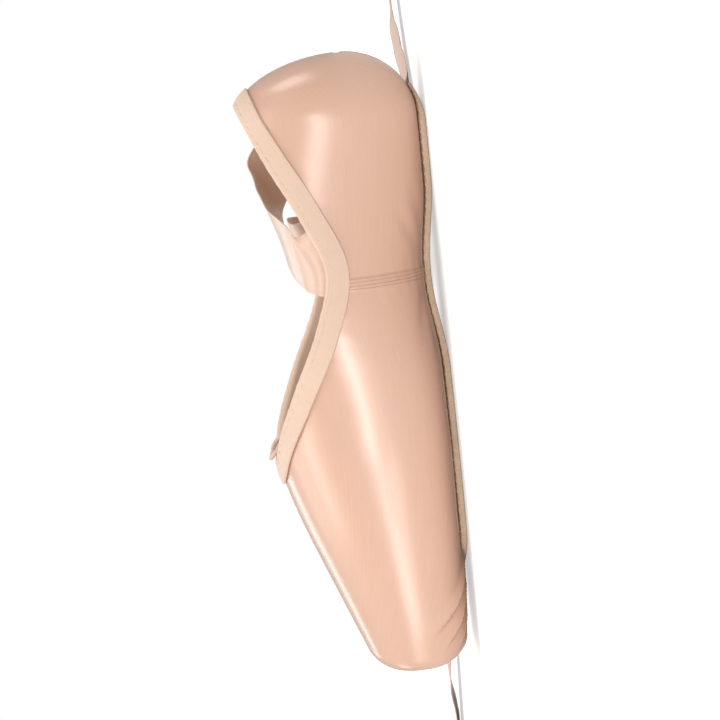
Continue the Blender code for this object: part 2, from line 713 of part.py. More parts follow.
def free_rows(start, route, count):
    """Rows of a flat strip along the route, each as wide as the ribbon, flat where it lies on the floor."""
    middle = start[len(start) // 2]
    slope = (start[0] - start[-1]).normalized()
    first = (*middle, math.degrees(math.asin(slope.z)))
    places = smooth_route([first] + [tuple(p) for p in route], count)
    rows = []
    across = (start[-1] - start[0]).normalized()
    for i in range(1, count):
        point = Vector(places[i][:3])
        along = Vector(places[min(i + 1, count - 1)][:3]) - Vector(places[i - 1][:3])
        across = across - along * (across.dot(along) / along.length_squared)
        level_across = Vector((across.x, across.y, 0.0)).normalized()
        lean = math.radians(places[i][3])
        across = level_across * math.cos(lean) - Vector((0.0, 0.0, math.sin(lean)))
        across = (across - along * (across.dot(along) / along.length_squared)).normalized()
        rows.append([point + across * (share * RIBBON_WIDTH) for share in RIBBON_COLUMNS])
    return rows


def make_ribbon(name, side, route):
    """A strip that is sewn inside the quarter, leaves the collar and ends on the floor."""
    sewn = sewn_rows(side)
    rows = sewn + free_rows(sewn[-1], route, RIBBON_ROWS)

    def shape(row, column):
        return rows[row][column], 1.0

    ribbon = make_object(name, bent_grid(name, len(rows), len(RIBBON_COLUMNS), shape), RIBBON_SATIN)
    solidify = ribbon.modifiers.new("cloth", "SOLIDIFY")
    solidify.thickness = RIBBON_THICKNESS
    solidify.offset = 0.0
    ribbon.modifiers.new("facets", "TRIANGULATE")


def make_drawstring():
    """The knotted cord in the notch of the binding, with both ends tucked under the throat."""
    throat = collar_point(THROAT, 1.0)
    route = smooth_route([throat + Vector(p) for p in DRAWSTRING_ROUTE], DRAWSTRING_ROWS)
    curve = bpy.data.curves.new("drawstring", "CURVE")
    curve.dimensions = "3D"
    curve.bevel_depth = DRAWSTRING_DIAMETER / 2
    curve.bevel_resolution = 2
    curve.use_fill_caps = True
    spline = curve.splines.new("POLY")
    spline.points.add(len(route) - 1)
    for knot, point in zip(spline.points, route):
        knot.co = (*point, 1.0)
    tube = bpy.data.objects.new("drawstring_curve", curve)
    SHOE.objects.link(tube)
    bpy.context.view_layer.update()
    mesh = bpy.data.meshes.new_from_object(tube.evaluated_get(bpy.context.evaluated_depsgraph_get()))
    bpy.data.objects.remove(tube)
    bm = bmesh.new()
    bm.from_mesh(mesh)
    bmesh.ops.remove_doubles(bm, verts=bm.verts, dist=MERGE_DISTANCE)
    bm.to_mesh(mesh)
    bm.free()
    mesh.materials.clear()
    make_object("drawstring", mesh, CORD)


for leftover in list(bpy.data.objects):
    bpy.data.objects.remove(leftover)
SHOE = bpy.data.collections.new("pointe_shoe")
bpy.context.scene.collection.children.link(SHOE)

make_upper()
make_outsole()
make_insole()
make_binding()
make_drawstring()
make_ribbon("ribbon_near", 1.0, RIBBON_NEAR_ROUTE)
make_ribbon("ribbon_far", -1.0, RIBBON_FAR_ROUTE)
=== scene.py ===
import math
from collections import namedtuple

import bpy
import numpy as np
from mathutils import Matrix, Vector, noise


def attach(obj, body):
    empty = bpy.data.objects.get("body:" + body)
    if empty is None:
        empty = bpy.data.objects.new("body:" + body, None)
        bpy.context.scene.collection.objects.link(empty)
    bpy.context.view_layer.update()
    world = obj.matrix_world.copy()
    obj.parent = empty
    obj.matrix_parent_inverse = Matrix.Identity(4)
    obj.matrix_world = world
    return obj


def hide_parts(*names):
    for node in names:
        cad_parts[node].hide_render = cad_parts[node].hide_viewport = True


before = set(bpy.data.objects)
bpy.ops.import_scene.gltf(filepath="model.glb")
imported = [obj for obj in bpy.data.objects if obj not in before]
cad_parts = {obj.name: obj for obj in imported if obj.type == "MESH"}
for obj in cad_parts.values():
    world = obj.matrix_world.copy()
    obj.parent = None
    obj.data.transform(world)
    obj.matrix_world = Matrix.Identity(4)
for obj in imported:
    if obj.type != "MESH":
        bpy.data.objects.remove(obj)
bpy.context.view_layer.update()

# The last, as the frame has it
LENGTH = 0.232
BALL_WIDTH = 0.087
WAIST_WIDTH = 0.074
HEEL_WIDTH = 0.057
THROAT_HEIGHT = 0.0676
WAIST_HEIGHT = 0.042
HEEL_HEIGHT = 0.069
VAMP_LENGTH = 0.080
ARCH_RISE = 0.0035
TOE_SPRING = 0.0025
HEEL_REACH = 0.024
HEEL_BULGE_HEIGHT = 0.030
HEEL_RAKE = 0.016
PLATFORM_WIDTH = 0.057
TOE_HEIGHT = 0.0385
TOE_SOLE_ROUND = 0.009
TOE_VAMP_ROUND = 0.0065
TOE_SIDE_ROUND = 0.0045

# Walls, layers and trim
QUARTER_WALL = 0.0014
BOX_WALL = 0.0026
PLATFORM_WALL = 0.0045
OUTSOLE_THICKNESS = 0.0027
OUTSOLE_SKIVE = 0.0012
INSOLE_THICKNESS = 0.0016
FIT_GAP = 0.0003
BALL_TREAD = 0.045
WAIST_TREAD = 0.024
HEEL_TREAD = 0.034
OUTSOLE_HEEL_ROUND = 0.014
OUTSOLE_TOE_ROUND = 0.024
INSOLE_MARGIN = 0.004
INSOLE_START = 0.015
INSOLE_END = LENGTH - 0.018
BINDING_WIDTH = 0.0075
BINDING_LINING = 0.0060
BINDING_THICKNESS = 0.0007
BINDING_EASE = 0.0005
BINDING_NOTCH = 0.0024
SEAM_WIDTH = 0.0045
SEAM_RISE = 0.0004
DRAWSTRING_DIAMETER = 0.0018
RIBBON_WIDTH = 0.025
RIBBON_THICKNESS = 0.0006
RIBBON_CLOTH = 0.0004
RIBBON_SEWN = 0.026
RIBBON_EASE = 0.00045
RIBBON_FOLD = 0.003
RIBBON_LIES = 0.0012

THROAT = LENGTH - VAMP_LENGTH
WAIST = 0.345 * LENGTH
WAIST_SEAM = 0.360 * LENGTH
RIBBON_SEAT = WAIST_SEAM - 0.36 * RIBBON_WIDTH
OUTSOLE_BACK = 0.014
OUTSOLE_TIP = LENGTH - 0.033
ARCH_START, ARCH_END = 0.21 * LENGTH, 0.52 * LENGTH
SPRING_START = 0.74 * LENGTH
STIFF_START, STIFF_END = 0.56 * LENGTH, 0.82 * LENGTH
TINY = 0.0004

# The last from heel to toe, each length as a share of the size that it follows
Section = namedtuple("Section", "station width tread widest crown flank roof")
SECTIONS = (
    Section(0.000 * LENGTH, 0.97 * HEEL_WIDTH, 0.90 * HEEL_TREAD,
            1.00 * HEEL_BULGE_HEIGHT, 1.04 * HEEL_HEIGHT, 2.1, 2.1),
    Section(0.103 * LENGTH, 1.00 * HEEL_WIDTH, 1.00 * HEEL_TREAD,
            1.03 * HEEL_BULGE_HEIGHT, 1.05 * HEEL_HEIGHT, 2.1, 2.1),
    Section(0.230 * LENGTH, 0.87 * WAIST_WIDTH, 1.15 * WAIST_TREAD,
            0.84 * WAIST_HEIGHT, 1.14 * HEEL_HEIGHT, 2.0, 2.2),
    Section(0.345 * LENGTH, 1.00 * WAIST_WIDTH, 1.00 * WAIST_TREAD,
            0.88 * WAIST_HEIGHT, 1.19 * HEEL_HEIGHT, 1.9, 2.3),
    Section(0.448 * LENGTH, 0.94 * BALL_WIDTH, 0.69 * BALL_TREAD,
            0.47 * THROAT_HEIGHT, 1.14 * THROAT_HEIGHT, 2.0, 2.3),
    Section(0.552 * LENGTH, 0.98 * BALL_WIDTH, 0.91 * BALL_TREAD,
            0.41 * THROAT_HEIGHT, 1.07 * THROAT_HEIGHT, 2.2, 2.3),
    Section(0.655 * LENGTH, 1.00 * BALL_WIDTH, 1.00 * BALL_TREAD,
            0.385 * THROAT_HEIGHT, 1.00 * THROAT_HEIGHT, 2.3, 2.3),
    Section(0.741 * LENGTH, 0.975 * BALL_WIDTH, 0.98 * BALL_TREAD,
            0.37 * THROAT_HEIGHT, 0.915 * THROAT_HEIGHT, 2.3, 2.3),
    Section(0.845 * LENGTH, 0.88 * BALL_WIDTH, 0.87 * BALL_TREAD,
            0.35 * THROAT_HEIGHT, 1.37 * TOE_HEIGHT, 2.3, 2.4),
    Section(0.918 * LENGTH, 0.785 * BALL_WIDTH, 0.73 * BALL_TREAD,
            0.58 * TOE_HEIGHT, 1.195 * TOE_HEIGHT, 2.3, 2.5),
    Section(1.000 * LENGTH, 1.00 * PLATFORM_WIDTH, 0.55 * BALL_TREAD,
            0.575 * TOE_HEIGHT, 1.00 * TOE_HEIGHT, 2.4, 2.6),
)

# The collar from the side: the share of the way from the waist back to the heel or on to the throat,
# and the share of the climb there
CollarPoint = namedtuple("CollarPoint", "reach rise")
COLLAR = [CollarPoint(*row) for row in (
    (-1.00, 1.00),
    (-0.67, 0.66),
    (-0.34, 0.27),
    (0.00, 0.00),
    (0.27, 0.22),
    (0.60, 0.65),
    (0.86, 0.93),
    (1.00, 1.00),
)]

# Where each ribbon lies after it leaves the collar: the middle of its width, and its lean in degrees
RibbonPoint = namedtuple("RibbonPoint", "x y z lean")
RIBBON_NEAR_ROUTE = [RibbonPoint(*row) for row in (
    (-0.0450, 0.0235, 0.0545, 8),
    (-0.0515, 0.0090, 0.0590, 14),
    (-0.0590, -0.0065, 0.0610, 20),
    (-0.0660, -0.0205, 0.0620, 26),
    (-0.0710, -0.0315, 0.0605, 26),
    (-0.0740, -0.0395, 0.0540, 16),
    (-0.0760, -0.0440, 0.0410, 8),
    (-0.0780, -0.0475, 0.0250, 4),
    (-0.0815, -0.0560, 0.0100, 0),
    (-0.0900, -0.0740, 0.0020, 0),
    (-0.1040, -0.0980, RIBBON_LIES, 0),
    (-0.1250, -0.1210, 0.0030, 0),
    (-0.1510, -0.1400, RIBBON_LIES, 0),
    (-0.1830, -0.1570, RIBBON_LIES, 0),
    (-0.2150, -0.1760, 0.0036, 0),
    (-0.2440, -0.1990, RIBBON_LIES, 0),
    (-0.2700, -0.2250, RIBBON_LIES, 0),
)]
RIBBON_FAR_ROUTE = [RibbonPoint(*row) for row in (
    (-0.0412, -0.0365, 0.0525, 9),
    (-0.0405, -0.0440, 0.0520, 9),
    (-0.0395, -0.0500, 0.0430, 6),
    (-0.0375, -0.0530, 0.0280, 3),
    (-0.0335, -0.0590, 0.0125, 0),
    (-0.0250, -0.0740, 0.0030, 0),
    (-0.0120, -0.0960, RIBBON_LIES, 0),
    (0.0070, -0.1170, RIBBON_LIES, 0),
    (0.0330, -0.1350, 0.0034, 0),
    (0.0640, -0.1480, RIBBON_LIES, 0),
    (0.0980, -0.1580, RIBBON_LIES, 0),
    (0.1320, -0.1700, RIBBON_LIES, 0),
    (0.1640, -0.1860, 0.0040, 0),
    (0.1930, -0.2060, RIBBON_LIES, 0),
    (0.2220, -0.2260, RIBBON_LIES, 0),
    (0.2530, -0.2410, RIBBON_LIES, 0),
)]

# The drawstring, measured from the throat's edge
DrawstringPoint = namedtuple("DrawstringPoint", "x y z")
DRAWSTRING_ROUTE = [DrawstringPoint(*row) for row in (
    (-0.0165, 0.0035, -0.0125),
    (-0.0100, 0.0020, -0.0080),
    (-0.0055, 0.0003, -0.0030),
    (-0.0042, -0.0010, 0.0008),
    (-0.0018, -0.0035, 0.0026),
    (-0.0022, -0.0070, 0.0022),
    (-0.0060, -0.0095, 0.0010),
    (-0.0092, -0.0085, -0.0020),
    (-0.0115, -0.0060, -0.0070),
    (-0.0165, -0.0050, -0.0125),
)]

# The pleats under the toe, from the outsole's edge to the platform. Girth is measured round the shoe
# from the middle line of the sole, and lift is how far the outer side of the fold stands above the next one.
Pleat = namedtuple("Pleat", "station girth end_station end_girth lift")
PLEATS = [Pleat(*row) for row in (
    (0.1888, -0.0158, 0.2185, -0.0392, 0.00149),
    (0.1925, -0.0137, 0.2245, -0.0325, 0.00162),
    (0.1952, -0.0109, 0.2280, -0.0262, 0.00155),
    (0.1972, -0.0078, 0.2300, -0.0190, 0.00135),
    (0.1982, -0.0046, 0.2300, -0.0118, 0.00115),
    (0.1987, -0.0014, 0.2300, -0.0042, 0.00095),
    (0.1987, 0.0014, 0.2300, 0.0036, 0.00095),
    (0.1982, 0.0046, 0.2300, 0.0112, 0.00115),
    (0.1972, 0.0077, 0.2300, 0.0184, 0.00135),
    (0.1950, 0.0107, 0.2280, 0.0256, 0.00155),
    (0.1922, 0.0136, 0.2240, 0.0320, 0.00169),
    (0.1885, 0.0160, 0.2190, 0.0386, 0.00155),
)]

# Soft creases of the quarters and the waist, as troughs in the cloth
Crease = namedtuple("Crease", "station girth end_station end_girth depth width")
CREASES = [Crease(*row) for row in (
    (0.0880, 0.0190, 0.1060, 0.0330, 0.00035, 0.0022),
    (0.0920, 0.0170, 0.1150, 0.0260, 0.00030, 0.0020),
    (0.0740, 0.0200, 0.0600, 0.0330, 0.00035, 0.0024),
    (0.0700, 0.0180, 0.0500, 0.0260, 0.00025, 0.0022),
    (0.0860, 0.0420, 0.0960, 0.0520, 0.00020, 0.0020),
    (0.0890, -0.0190, 0.1080, -0.0320, 0.00035, 0.0022),
    (0.0940, -0.0165, 0.1170, -0.0240, 0.00030, 0.0020),
    (0.0730, -0.0210, 0.0580, -0.0340, 0.00040, 0.0024),
    (0.0850, -0.0440, 0.0970, -0.0540, 0.00020, 0.0020),
)]

# Fineness: where rows and columns of the upper stand close, how far apart they are, and how many
CORNER_ROWS = 14
BACK_ROWS = 24
SEAM_ROWS = 25
SEAM_ROWS_REACH = 0.0036
HEEL_ROWS = 13
HEEL_ROWS_REACH = 0.009
THROAT_ROWS = 15
THROAT_ROWS_REACH = 0.013
TOE_ROWS_START = 0.186
TOE_ROW_SPACING = 0.00075
ROW_SPACING = 0.0016
SOLE_COLUMNS = 40
SOLE_COLUMNS_REACH = 0.032
SOLE_COLUMNS_MOST = 0.45
SIDE_COLUMNS = 42
SECTION_SAMPLES = 300
FACE_ROWS = 7
FACE_REACH = 0.018
RIM_COLUMNS = 4
RIM_REACH = 0.002


def curve_through(stations, values):
    """A smooth curve through a table's values, to be read at one place or many."""
    stations = np.array(stations, dtype=float)
    values = np.array(values, dtype=float)
    slopes = np.gradient(values, stations)

    def read(at):
        at = np.asarray(at, dtype=float)
        i = np.clip(np.searchsorted(stations, at) - 1, 0, len(stations) - 2)
        step = stations[i + 1] - stations[i]
        t = (at - stations[i]) / step
        start = (1 + 2 * t) * (1 - t) ** 2 * values[i] + t * (1 - t) ** 2 * step * slopes[i]
        end = t * t * (3 - 2 * t) * values[i + 1] + t * t * (t - 1) * step * slopes[i + 1]
        return start + end
    return read


def ease(value, low, high):
    """0 below low, 1 above high, and a soft step between."""
    t = np.clip((np.asarray(value, dtype=float) - low) / (high - low), 0.0, 1.0)
    return t * t * (3 - 2 * t)


def bump_at(value, middle, width):
    """A soft bump of height 1."""
    return np.exp(-((np.asarray(value, dtype=float) - middle) / width) ** 2)


SECTION_READS = {column: curve_through([s.station for s in SECTIONS],
                                       [getattr(s, column) for s in SECTIONS])
                 for column in Section._fields[1:]}
COLLAR_READ = curve_through([p.reach for p in COLLAR], [p.rise for p in COLLAR])


def rounded_off(distance, radius):
    """How far a round has drawn an edge in, this far before the face that it ends on."""
    reach = np.maximum(radius - distance, 0.0)
    return radius - np.sqrt(np.maximum(radius * radius - reach * reach, 0.0))


Girth = namedtuple("Girth", "half flat bottom widest crown flank roof")


def sole_rise(station):
    """The arch and the toe spring of the side that the shoe stands on."""
    along = np.clip((station - ARCH_START) / (ARCH_END - ARCH_START), 0.0, 1.0)
    spring = np.maximum(station - SPRING_START, 0.0) / (LENGTH - SPRING_START)
    return ARCH_RISE * np.sin(np.pi * along) ** 2 + TOE_SPRING * spring ** 2


def girth(station):
    """The last's section at a station or at many."""
    station = np.asarray(station, dtype=float)
    read = {column: SECTION_READS[column](station) for column in SECTION_READS}
    reach = np.maximum(HEEL_REACH - station, 0.0) / HEEL_REACH
    closing = np.sqrt(np.maximum(1.0 - reach * reach, 0.0))
    before_face = LENGTH - station
    bottom = sole_rise(station) + OUTSOLE_THICKNESS + FIT_GAP
    bottom = HEEL_BULGE_HEIGHT - (HEEL_BULGE_HEIGHT - bottom) * closing
    crown = HEEL_BULGE_HEIGHT + (read["crown"] - HEEL_BULGE_HEIGHT) * closing
    widest = HEEL_BULGE_HEIGHT + (read["widest"] - HEEL_BULGE_HEIGHT) * closing
    half = read["width"] / 2 * closing - rounded_off(before_face, TOE_SIDE_ROUND)
    flat = read["tread"] / 2 * closing
    bottom = bottom + rounded_off(before_face, TOE_SOLE_ROUND)
    crown = crown - rounded_off(before_face, TOE_VAMP_ROUND)
    return Girth(half, flat, bottom, widest, crown, read["flank"], read["roof"])


def around(section, turn):
    """(y, z) of a section. Turn is -1 to 0 on the flat, to 1 up the flank and to 2 over the roof."""
    low = np.clip(turn, 0.0, 1.0) * np.pi / 2
    high = np.clip(turn - 1.0, 0.0, 1.0) * np.pi / 2
    flank_y = section.flat + (section.half - section.flat) * np.sin(low) ** (2 / section.flank)
    depth = (section.widest - section.bottom) * np.maximum(np.cos(low), 0.0) ** (2 / section.flank)
    roof_y = section.half * np.maximum(np.cos(high), 0.0) ** (2 / section.roof)
    roof_z = section.widest + (section.crown - section.widest) * np.sin(high) ** (2 / section.roof)
    flank_z = section.widest - depth
    y = np.where(turn <= 0.0, section.flat * (turn + 1.0), np.where(turn <= 1.0, flank_y, roof_y))
    z = np.where(turn <= 0.0, section.bottom + 0.0 * turn, np.where(turn <= 1.0, flank_z, roof_z))
    return y, z


def collar_height(station):
    """Height of the collar's edge."""
    station = np.asarray(station, dtype=float)
    back = station < WAIST
    reach = np.where(back, (station - WAIST) / (WAIST - HEEL_RAKE), (station - WAIST) / (THROAT - WAIST))
    top = np.where(back, girth(HEEL_RAKE).crown, girth(THROAT).crown)
    return WAIST_HEIGHT + COLLAR_READ(reach) * (top - WAIST_HEIGHT)


def collar_turn(station):
    """The turn at which the wall ends at the top: the collar, or the middle where the shoe is closed."""
    section = girth(station)
    height = collar_height(np.clip(station, HEEL_RAKE, THROAT))
    above = np.clip((height - section.widest) / np.maximum(section.crown - section.widest, 1e-9), 0.0, 1.0)
    below = np.clip((section.widest - height) / np.maximum(section.widest - section.bottom, 1e-9), 0.0, 1.0)
    high = 1.0 + np.arcsin(above ** (section.roof / 2)) / (np.pi / 2)
    low = np.arccos(below ** (section.flank / 2)) / (np.pi / 2)
    turn = np.where(height >= section.widest, high, low)
    return np.where((station <= HEEL_RAKE) | (station >= THROAT), 2.0, turn)


def end_rounding(station, start, end, start_round, end_round):
    """0 outside a round-ended outline, 1 where it has its full width."""
    behind = np.clip(1.0 - (station - start) / start_round, 0.0, 1.0)
    ahead = np.clip(1.0 - (end - station) / end_round, 0.0, 1.0)
    return np.sqrt(1.0 - behind * behind) * np.sqrt(1.0 - ahead * ahead)


def outsole_half(station):
    """Half the width of the outsole."""
    rounding = end_rounding(station, OUTSOLE_BACK, OUTSOLE_TIP, OUTSOLE_HEEL_ROUND, OUTSOLE_TOE_ROUND)
    return girth(station).flat * rounding


def wall(station):
    """Thickness of the upper: soft quarters, a stiffened box and a thick platform."""
    thickness = QUARTER_WALL + (BOX_WALL - QUARTER_WALL) * ease(station, STIFF_START, STIFF_END)
    return thickness + (PLATFORM_WALL - BOX_WALL) * ease(station, LENGTH - 2 * PLATFORM_WALL, LENGTH)


def level(points):
    """Below 0 inside the last, 0 on it and above 0 outside."""
    section = girth(np.clip(points[:, 0] + LENGTH / 2, TINY, LENGTH - TINY))
    y, z = np.abs(points[:, 1]), points[:, 2]
    over = np.maximum(z - section.widest, 0.0) / (section.crown - section.widest)
    upper_level = (y / section.half) ** section.roof + over ** section.roof - 1.0
    beyond = np.maximum(y - section.flat, 0.0) / (section.half - section.flat)
    below = np.maximum(section.widest - z, 0.0) / (section.widest - section.bottom)
    lower_level = beyond ** section.flank + below ** section.flank - 1.0
    return np.where(z >= section.widest, upper_level, lower_level)


def slope_of_level(points):
    step = TINY / 10
    slopes = [(level(points + way) - level(points - way)) / (2 * step) for way in step * np.eye(3)]
    return np.stack(slopes, axis=1)


def unit(vectors):
    return vectors / np.maximum(np.linalg.norm(vectors, axis=-1, keepdims=True), 1e-12)


def outward(points):
    """The directions straight out of the last at points on it."""
    return unit(slope_of_level(points))


def walk_on_last(points, headings, distance, steps=6):
    """Follow the last's surface from each point, in its heading, for a distance."""
    for _ in range(steps):
        normals = outward(points)
        headings = unit(headings - normals * np.sum(headings * normals, axis=1, keepdims=True))
        points = points + headings * (distance / steps)
        slopes = slope_of_level(points)
        points = points - slopes * (level(points) / np.sum(slopes * slopes, axis=1))[:, None]
    return points


def collar_points(stations, side):
    """Points on the collar's edge."""
    stations = np.asarray(stations, dtype=float)
    y, z = around(girth(stations), collar_turn(stations))
    return np.stack([stations - LENGTH / 2, side * y, z], axis=1)


def lengths_along(points):
    """How far each point is along a line of points."""
    return np.concatenate([[0.0], np.cumsum(np.linalg.norm(np.diff(points, axis=0), axis=1))])


def even_points(points, count):
    """Points spread evenly along a line of points."""
    lengths = lengths_along(points)
    stops = np.linspace(0.0, lengths[-1], count)
    return np.stack([np.interp(stops, lengths, column) for column in points.T], axis=1)


# Making meshes

MERGE = 0.000001


def deselect_all():
    for piece in bpy.context.selected_objects:
        piece.select_set(False)


def select_only(pieces):
    """Select these pieces and no other. The first one is the active one."""
    deselect_all()
    for piece in pieces:
        piece.select_set(True)
    bpy.context.view_layer.objects.active = pieces[0]


def rows_piece(name, points, materials, marks=None):
    """A grid laid out flat, then shaped so that its corner (row, column) lies at points[row, column]."""
    rows, columns = points.shape[:2]
    deselect_all()
    bpy.ops.mesh.primitive_grid_add(x_subdivisions=rows - 1, y_subdivisions=columns - 1, size=2.0)
    piece = bpy.context.object
    piece.name = name
    mesh = piece.data
    mesh.name = name
    flat = np.empty(len(mesh.vertices) * 3)
    mesh.vertices.foreach_get("co", flat)
    flat = flat.reshape(-1, 3)
    row = np.rint((flat[:, 0] + 1) / 2 * (rows - 1)).astype(int)
    column = np.rint((flat[:, 1] + 1) / 2 * (columns - 1)).astype(int)
    mesh.vertices.foreach_set("co", points[row, column].ravel())
    for label, values in (marks or {}).items():
        layer = mesh.attributes.new(label, "FLOAT", "POINT")
        layer.data.foreach_set("value", values[row, column].astype(np.float32))
    for material in materials:
        mesh.materials.append(material)
    mesh.update()
    return piece


def lay_pattern(piece, along, across):
    """Give a piece's UV map lengths in metres, from two values kept on its points."""
    mesh = piece.data
    values = []
    for label in (along, across):
        kept = np.empty(len(mesh.vertices), dtype=np.float32)
        mesh.attributes[label].data.foreach_get("value", kept)
        values.append(kept)
    corners = np.empty(len(mesh.loops), dtype=np.int32)
    mesh.loops.foreach_get("vertex_index", corners)
    uv = mesh.uv_layers.active or mesh.uv_layers.new(name="UVMap")
    uv.data.foreach_set("uv", np.stack([values[0][corners], values[1][corners]], axis=1).ravel())


def tidy_mesh(piece):
    """Close the doubled corners of a piece, and turn its faces outwards."""
    select_only([piece])
    bpy.ops.object.mode_set(mode="EDIT")
    bpy.ops.mesh.select_all(action="SELECT")
    bpy.ops.mesh.remove_doubles(threshold=MERGE)
    bpy.ops.mesh.dissolve_degenerate(threshold=MERGE)
    bpy.ops.mesh.normals_make_consistent(inside=False)
    bpy.ops.object.mode_set(mode="OBJECT")


def apply_modifiers(piece):
    select_only([piece])
    for modifier in list(piece.modifiers):
        bpy.ops.object.modifier_apply(modifier=modifier.name)


def smooth(piece, degrees):
    """Shade a piece smooth, but for edges sharper than this angle."""
    select_only([piece])
    bpy.ops.object.shade_smooth_by_angle(angle=math.radians(degrees))


def join(pieces, name):
    """Make one piece of several."""
    select_only(pieces)
    bpy.ops.object.join()
    pieces[0].name = name
    pieces[0].data.name = name
    return pieces[0]


# Shared effects: each group takes a pattern place in metres and gives masks, colours or heights

def new_group(name, inputs, outputs):
    """A shader node group with named sockets."""
    group = bpy.data.node_groups.new(name, "ShaderNodeTree")
    for label, kind, value in inputs:
        socket = group.interface.new_socket(label, in_out="INPUT", socket_type=kind)
        if value is not None:
            socket.default_value = value
    for label, kind in outputs:
        group.interface.new_socket(label, in_out="OUTPUT", socket_type=kind)
    return group, group.nodes.new("NodeGroupInput"), group.nodes.new("NodeGroupOutput")


def feed(tree, socket, value):
    """Give a socket a value of its own, or what another node puts out."""
    if isinstance(value, (int, float, tuple)):
        socket.default_value = value
    else:
        tree.links.new(value, socket)


def math_node(tree, operation, *values):
    """One step of arithmetic."""
    node = tree.nodes.new("ShaderNodeMath")
    node.operation = operation
    for socket, value in zip(node.inputs, values):
        feed(tree, socket, value)
    return node.outputs[0]


def stretched(tree, place, scale):
    """A place scaled along each axis."""
    node = tree.nodes.new("ShaderNodeVectorMath")
    node.operation = "MULTIPLY"
    tree.links.new(place, node.inputs[0])
    node.inputs[1].default_value = scale
    return node.outputs[0]


def noise_node(tree, place, scale, detail=2.0, roughness=0.5):
    node = tree.nodes.new("ShaderNodeTexNoise")
    feed(tree, node.inputs["Scale"], scale)
    node.inputs["Detail"].default_value = detail
    node.inputs["Roughness"].default_value = roughness
    tree.links.new(place, node.inputs["Vector"])
    return node.outputs["Fac"]


def remap(tree, value, low, high, to_low=0.0, to_high=1.0):
    node = tree.nodes.new("ShaderNodeMapRange")
    node.inputs["From Min"].default_value = low
    node.inputs["From Max"].default_value = high
    node.inputs["To Min"].default_value = to_low
    node.inputs["To Max"].default_value = to_high
    tree.links.new(value, node.inputs["Value"])
    return node.outputs["Result"]


# How a streak of the cloth is drawn out: few to a metre lengthwise, many across
STREAKS = (60.0, 1400.0, 1.0)
THREAD_RELIEF = 0.25


def make_weave_group():
    """Threads both ways. Float is how far the lengthwise threads lie over the crosswise ones."""
    group, start, end = new_group(
        "thread weave",
        [("Place", "NodeSocketVector", None), ("Threads", "NodeSocketFloat", 2500.0),
         ("Float", "NodeSocketFloat", 0.7), ("Slub", "NodeSocketFloat", 0.5)],
        [("Height", "NodeSocketFloat"), ("Streak", "NodeSocketFloat")])
    parts = group.nodes.new("ShaderNodeSeparateXYZ")
    group.links.new(start.outputs["Place"], parts.inputs[0])
    turns = math_node(group, "MULTIPLY", start.outputs["Threads"], 2 * math.pi)
    across = math_node(group, "SINE", math_node(group, "MULTIPLY", parts.outputs["Y"], turns))
    along = math_node(group, "SINE", math_node(group, "MULTIPLY", parts.outputs["X"], turns))
    over = math_node(group, "MULTIPLY", across, start.outputs["Float"])
    under = math_node(group, "MULTIPLY", along, math_node(group, "SUBTRACT", 1.0, start.outputs["Float"]))
    threads = math_node(group, "ADD", over, under)
    drawn_out = stretched(group, start.outputs["Place"], STREAKS)
    streak = noise_node(group, drawn_out, 1.0, detail=3.0, roughness=0.55)
    slub = math_node(group, "MULTIPLY", math_node(group, "SUBTRACT", streak, 0.5), start.outputs["Slub"])
    height = math_node(group, "ADD", math_node(group, "MULTIPLY", threads, THREAD_RELIEF), slub)
    group.links.new(height, end.inputs["Height"])
    group.links.new(streak, end.inputs["Streak"])
    return group


def make_grain_group():
    """Nap or pores of leather, from fine specks to soft clouds."""
    group, start, end = new_group(
        "leather grain",
        [("Place", "NodeSocketVector", None), ("Fineness", "NodeSocketFloat", 1800.0)],
        [("Height", "NodeSocketFloat"), ("Cloud", "NodeSocketFloat")])
    fine = noise_node(group, start.outputs["Place"], start.outputs["Fineness"], detail=5.0, roughness=0.7)
    cloud = noise_node(group, start.outputs["Place"], 70.0, detail=4.0, roughness=0.6)
    pores = group.nodes.new("ShaderNodeTexVoronoi")
    group.links.new(start.outputs["Place"], pores.inputs["Vector"])
    group.links.new(start.outputs["Fineness"], pores.inputs["Scale"])
    pits = math_node(group, "MULTIPLY", pores.outputs["Distance"], 0.5)
    group.links.new(math_node(group, "ADD", fine, pits), end.inputs["Height"])
    group.links.new(cloud, end.inputs["Cloud"])
    return group


def make_handled_group():
    """Where fingers and floor leave cloth a little duller: soft uneven clouds."""
    group, start, end = new_group(
        "handled cloth",
        [("Place", "NodeSocketVector", None), ("Size", "NodeSocketFloat", 25.0)],
        [("Mask", "NodeSocketFloat")])
    clouds = noise_node(group, start.outputs["Place"], start.outputs["Size"], detail=4.0, roughness=0.55)
    group.links.new(remap(group, clouds, 0.30, 0.85), end.inputs["Mask"])
    return group


WEAVE = make_weave_group()
GRAIN = make_grain_group()
HANDLED = make_handled_group()


# Finishes

def new_material(name, colour):
    """A new material, its node tree and its shader."""
    material = bpy.data.materials.new(name)
    material.use_nodes = True
    material.diffuse_color = (*colour, 1.0)
    tree = material.node_tree
    shader = tree.nodes["Principled BSDF"]
    shader.inputs["Base Color"].default_value = (*colour, 1.0)
    return material, tree, shader


def place_node(tree, kind):
    """Where a point lies on the object, or on the cloth's own pattern."""
    return tree.nodes.new("ShaderNodeTexCoord").outputs[kind]


def group_node(tree, group, place, **values):
    """A shared effect with its own values."""
    node = tree.nodes.new("ShaderNodeGroup")
    node.node_tree = group
    tree.links.new(place, node.inputs["Place"])
    for label, value in values.items():
        node.inputs[label].default_value = value
    return node


def mark_node(tree, label):
    """A value kept on the piece's points."""
    node = tree.nodes.new("ShaderNodeAttribute")
    node.attribute_name = label
    return node.outputs["Fac"]


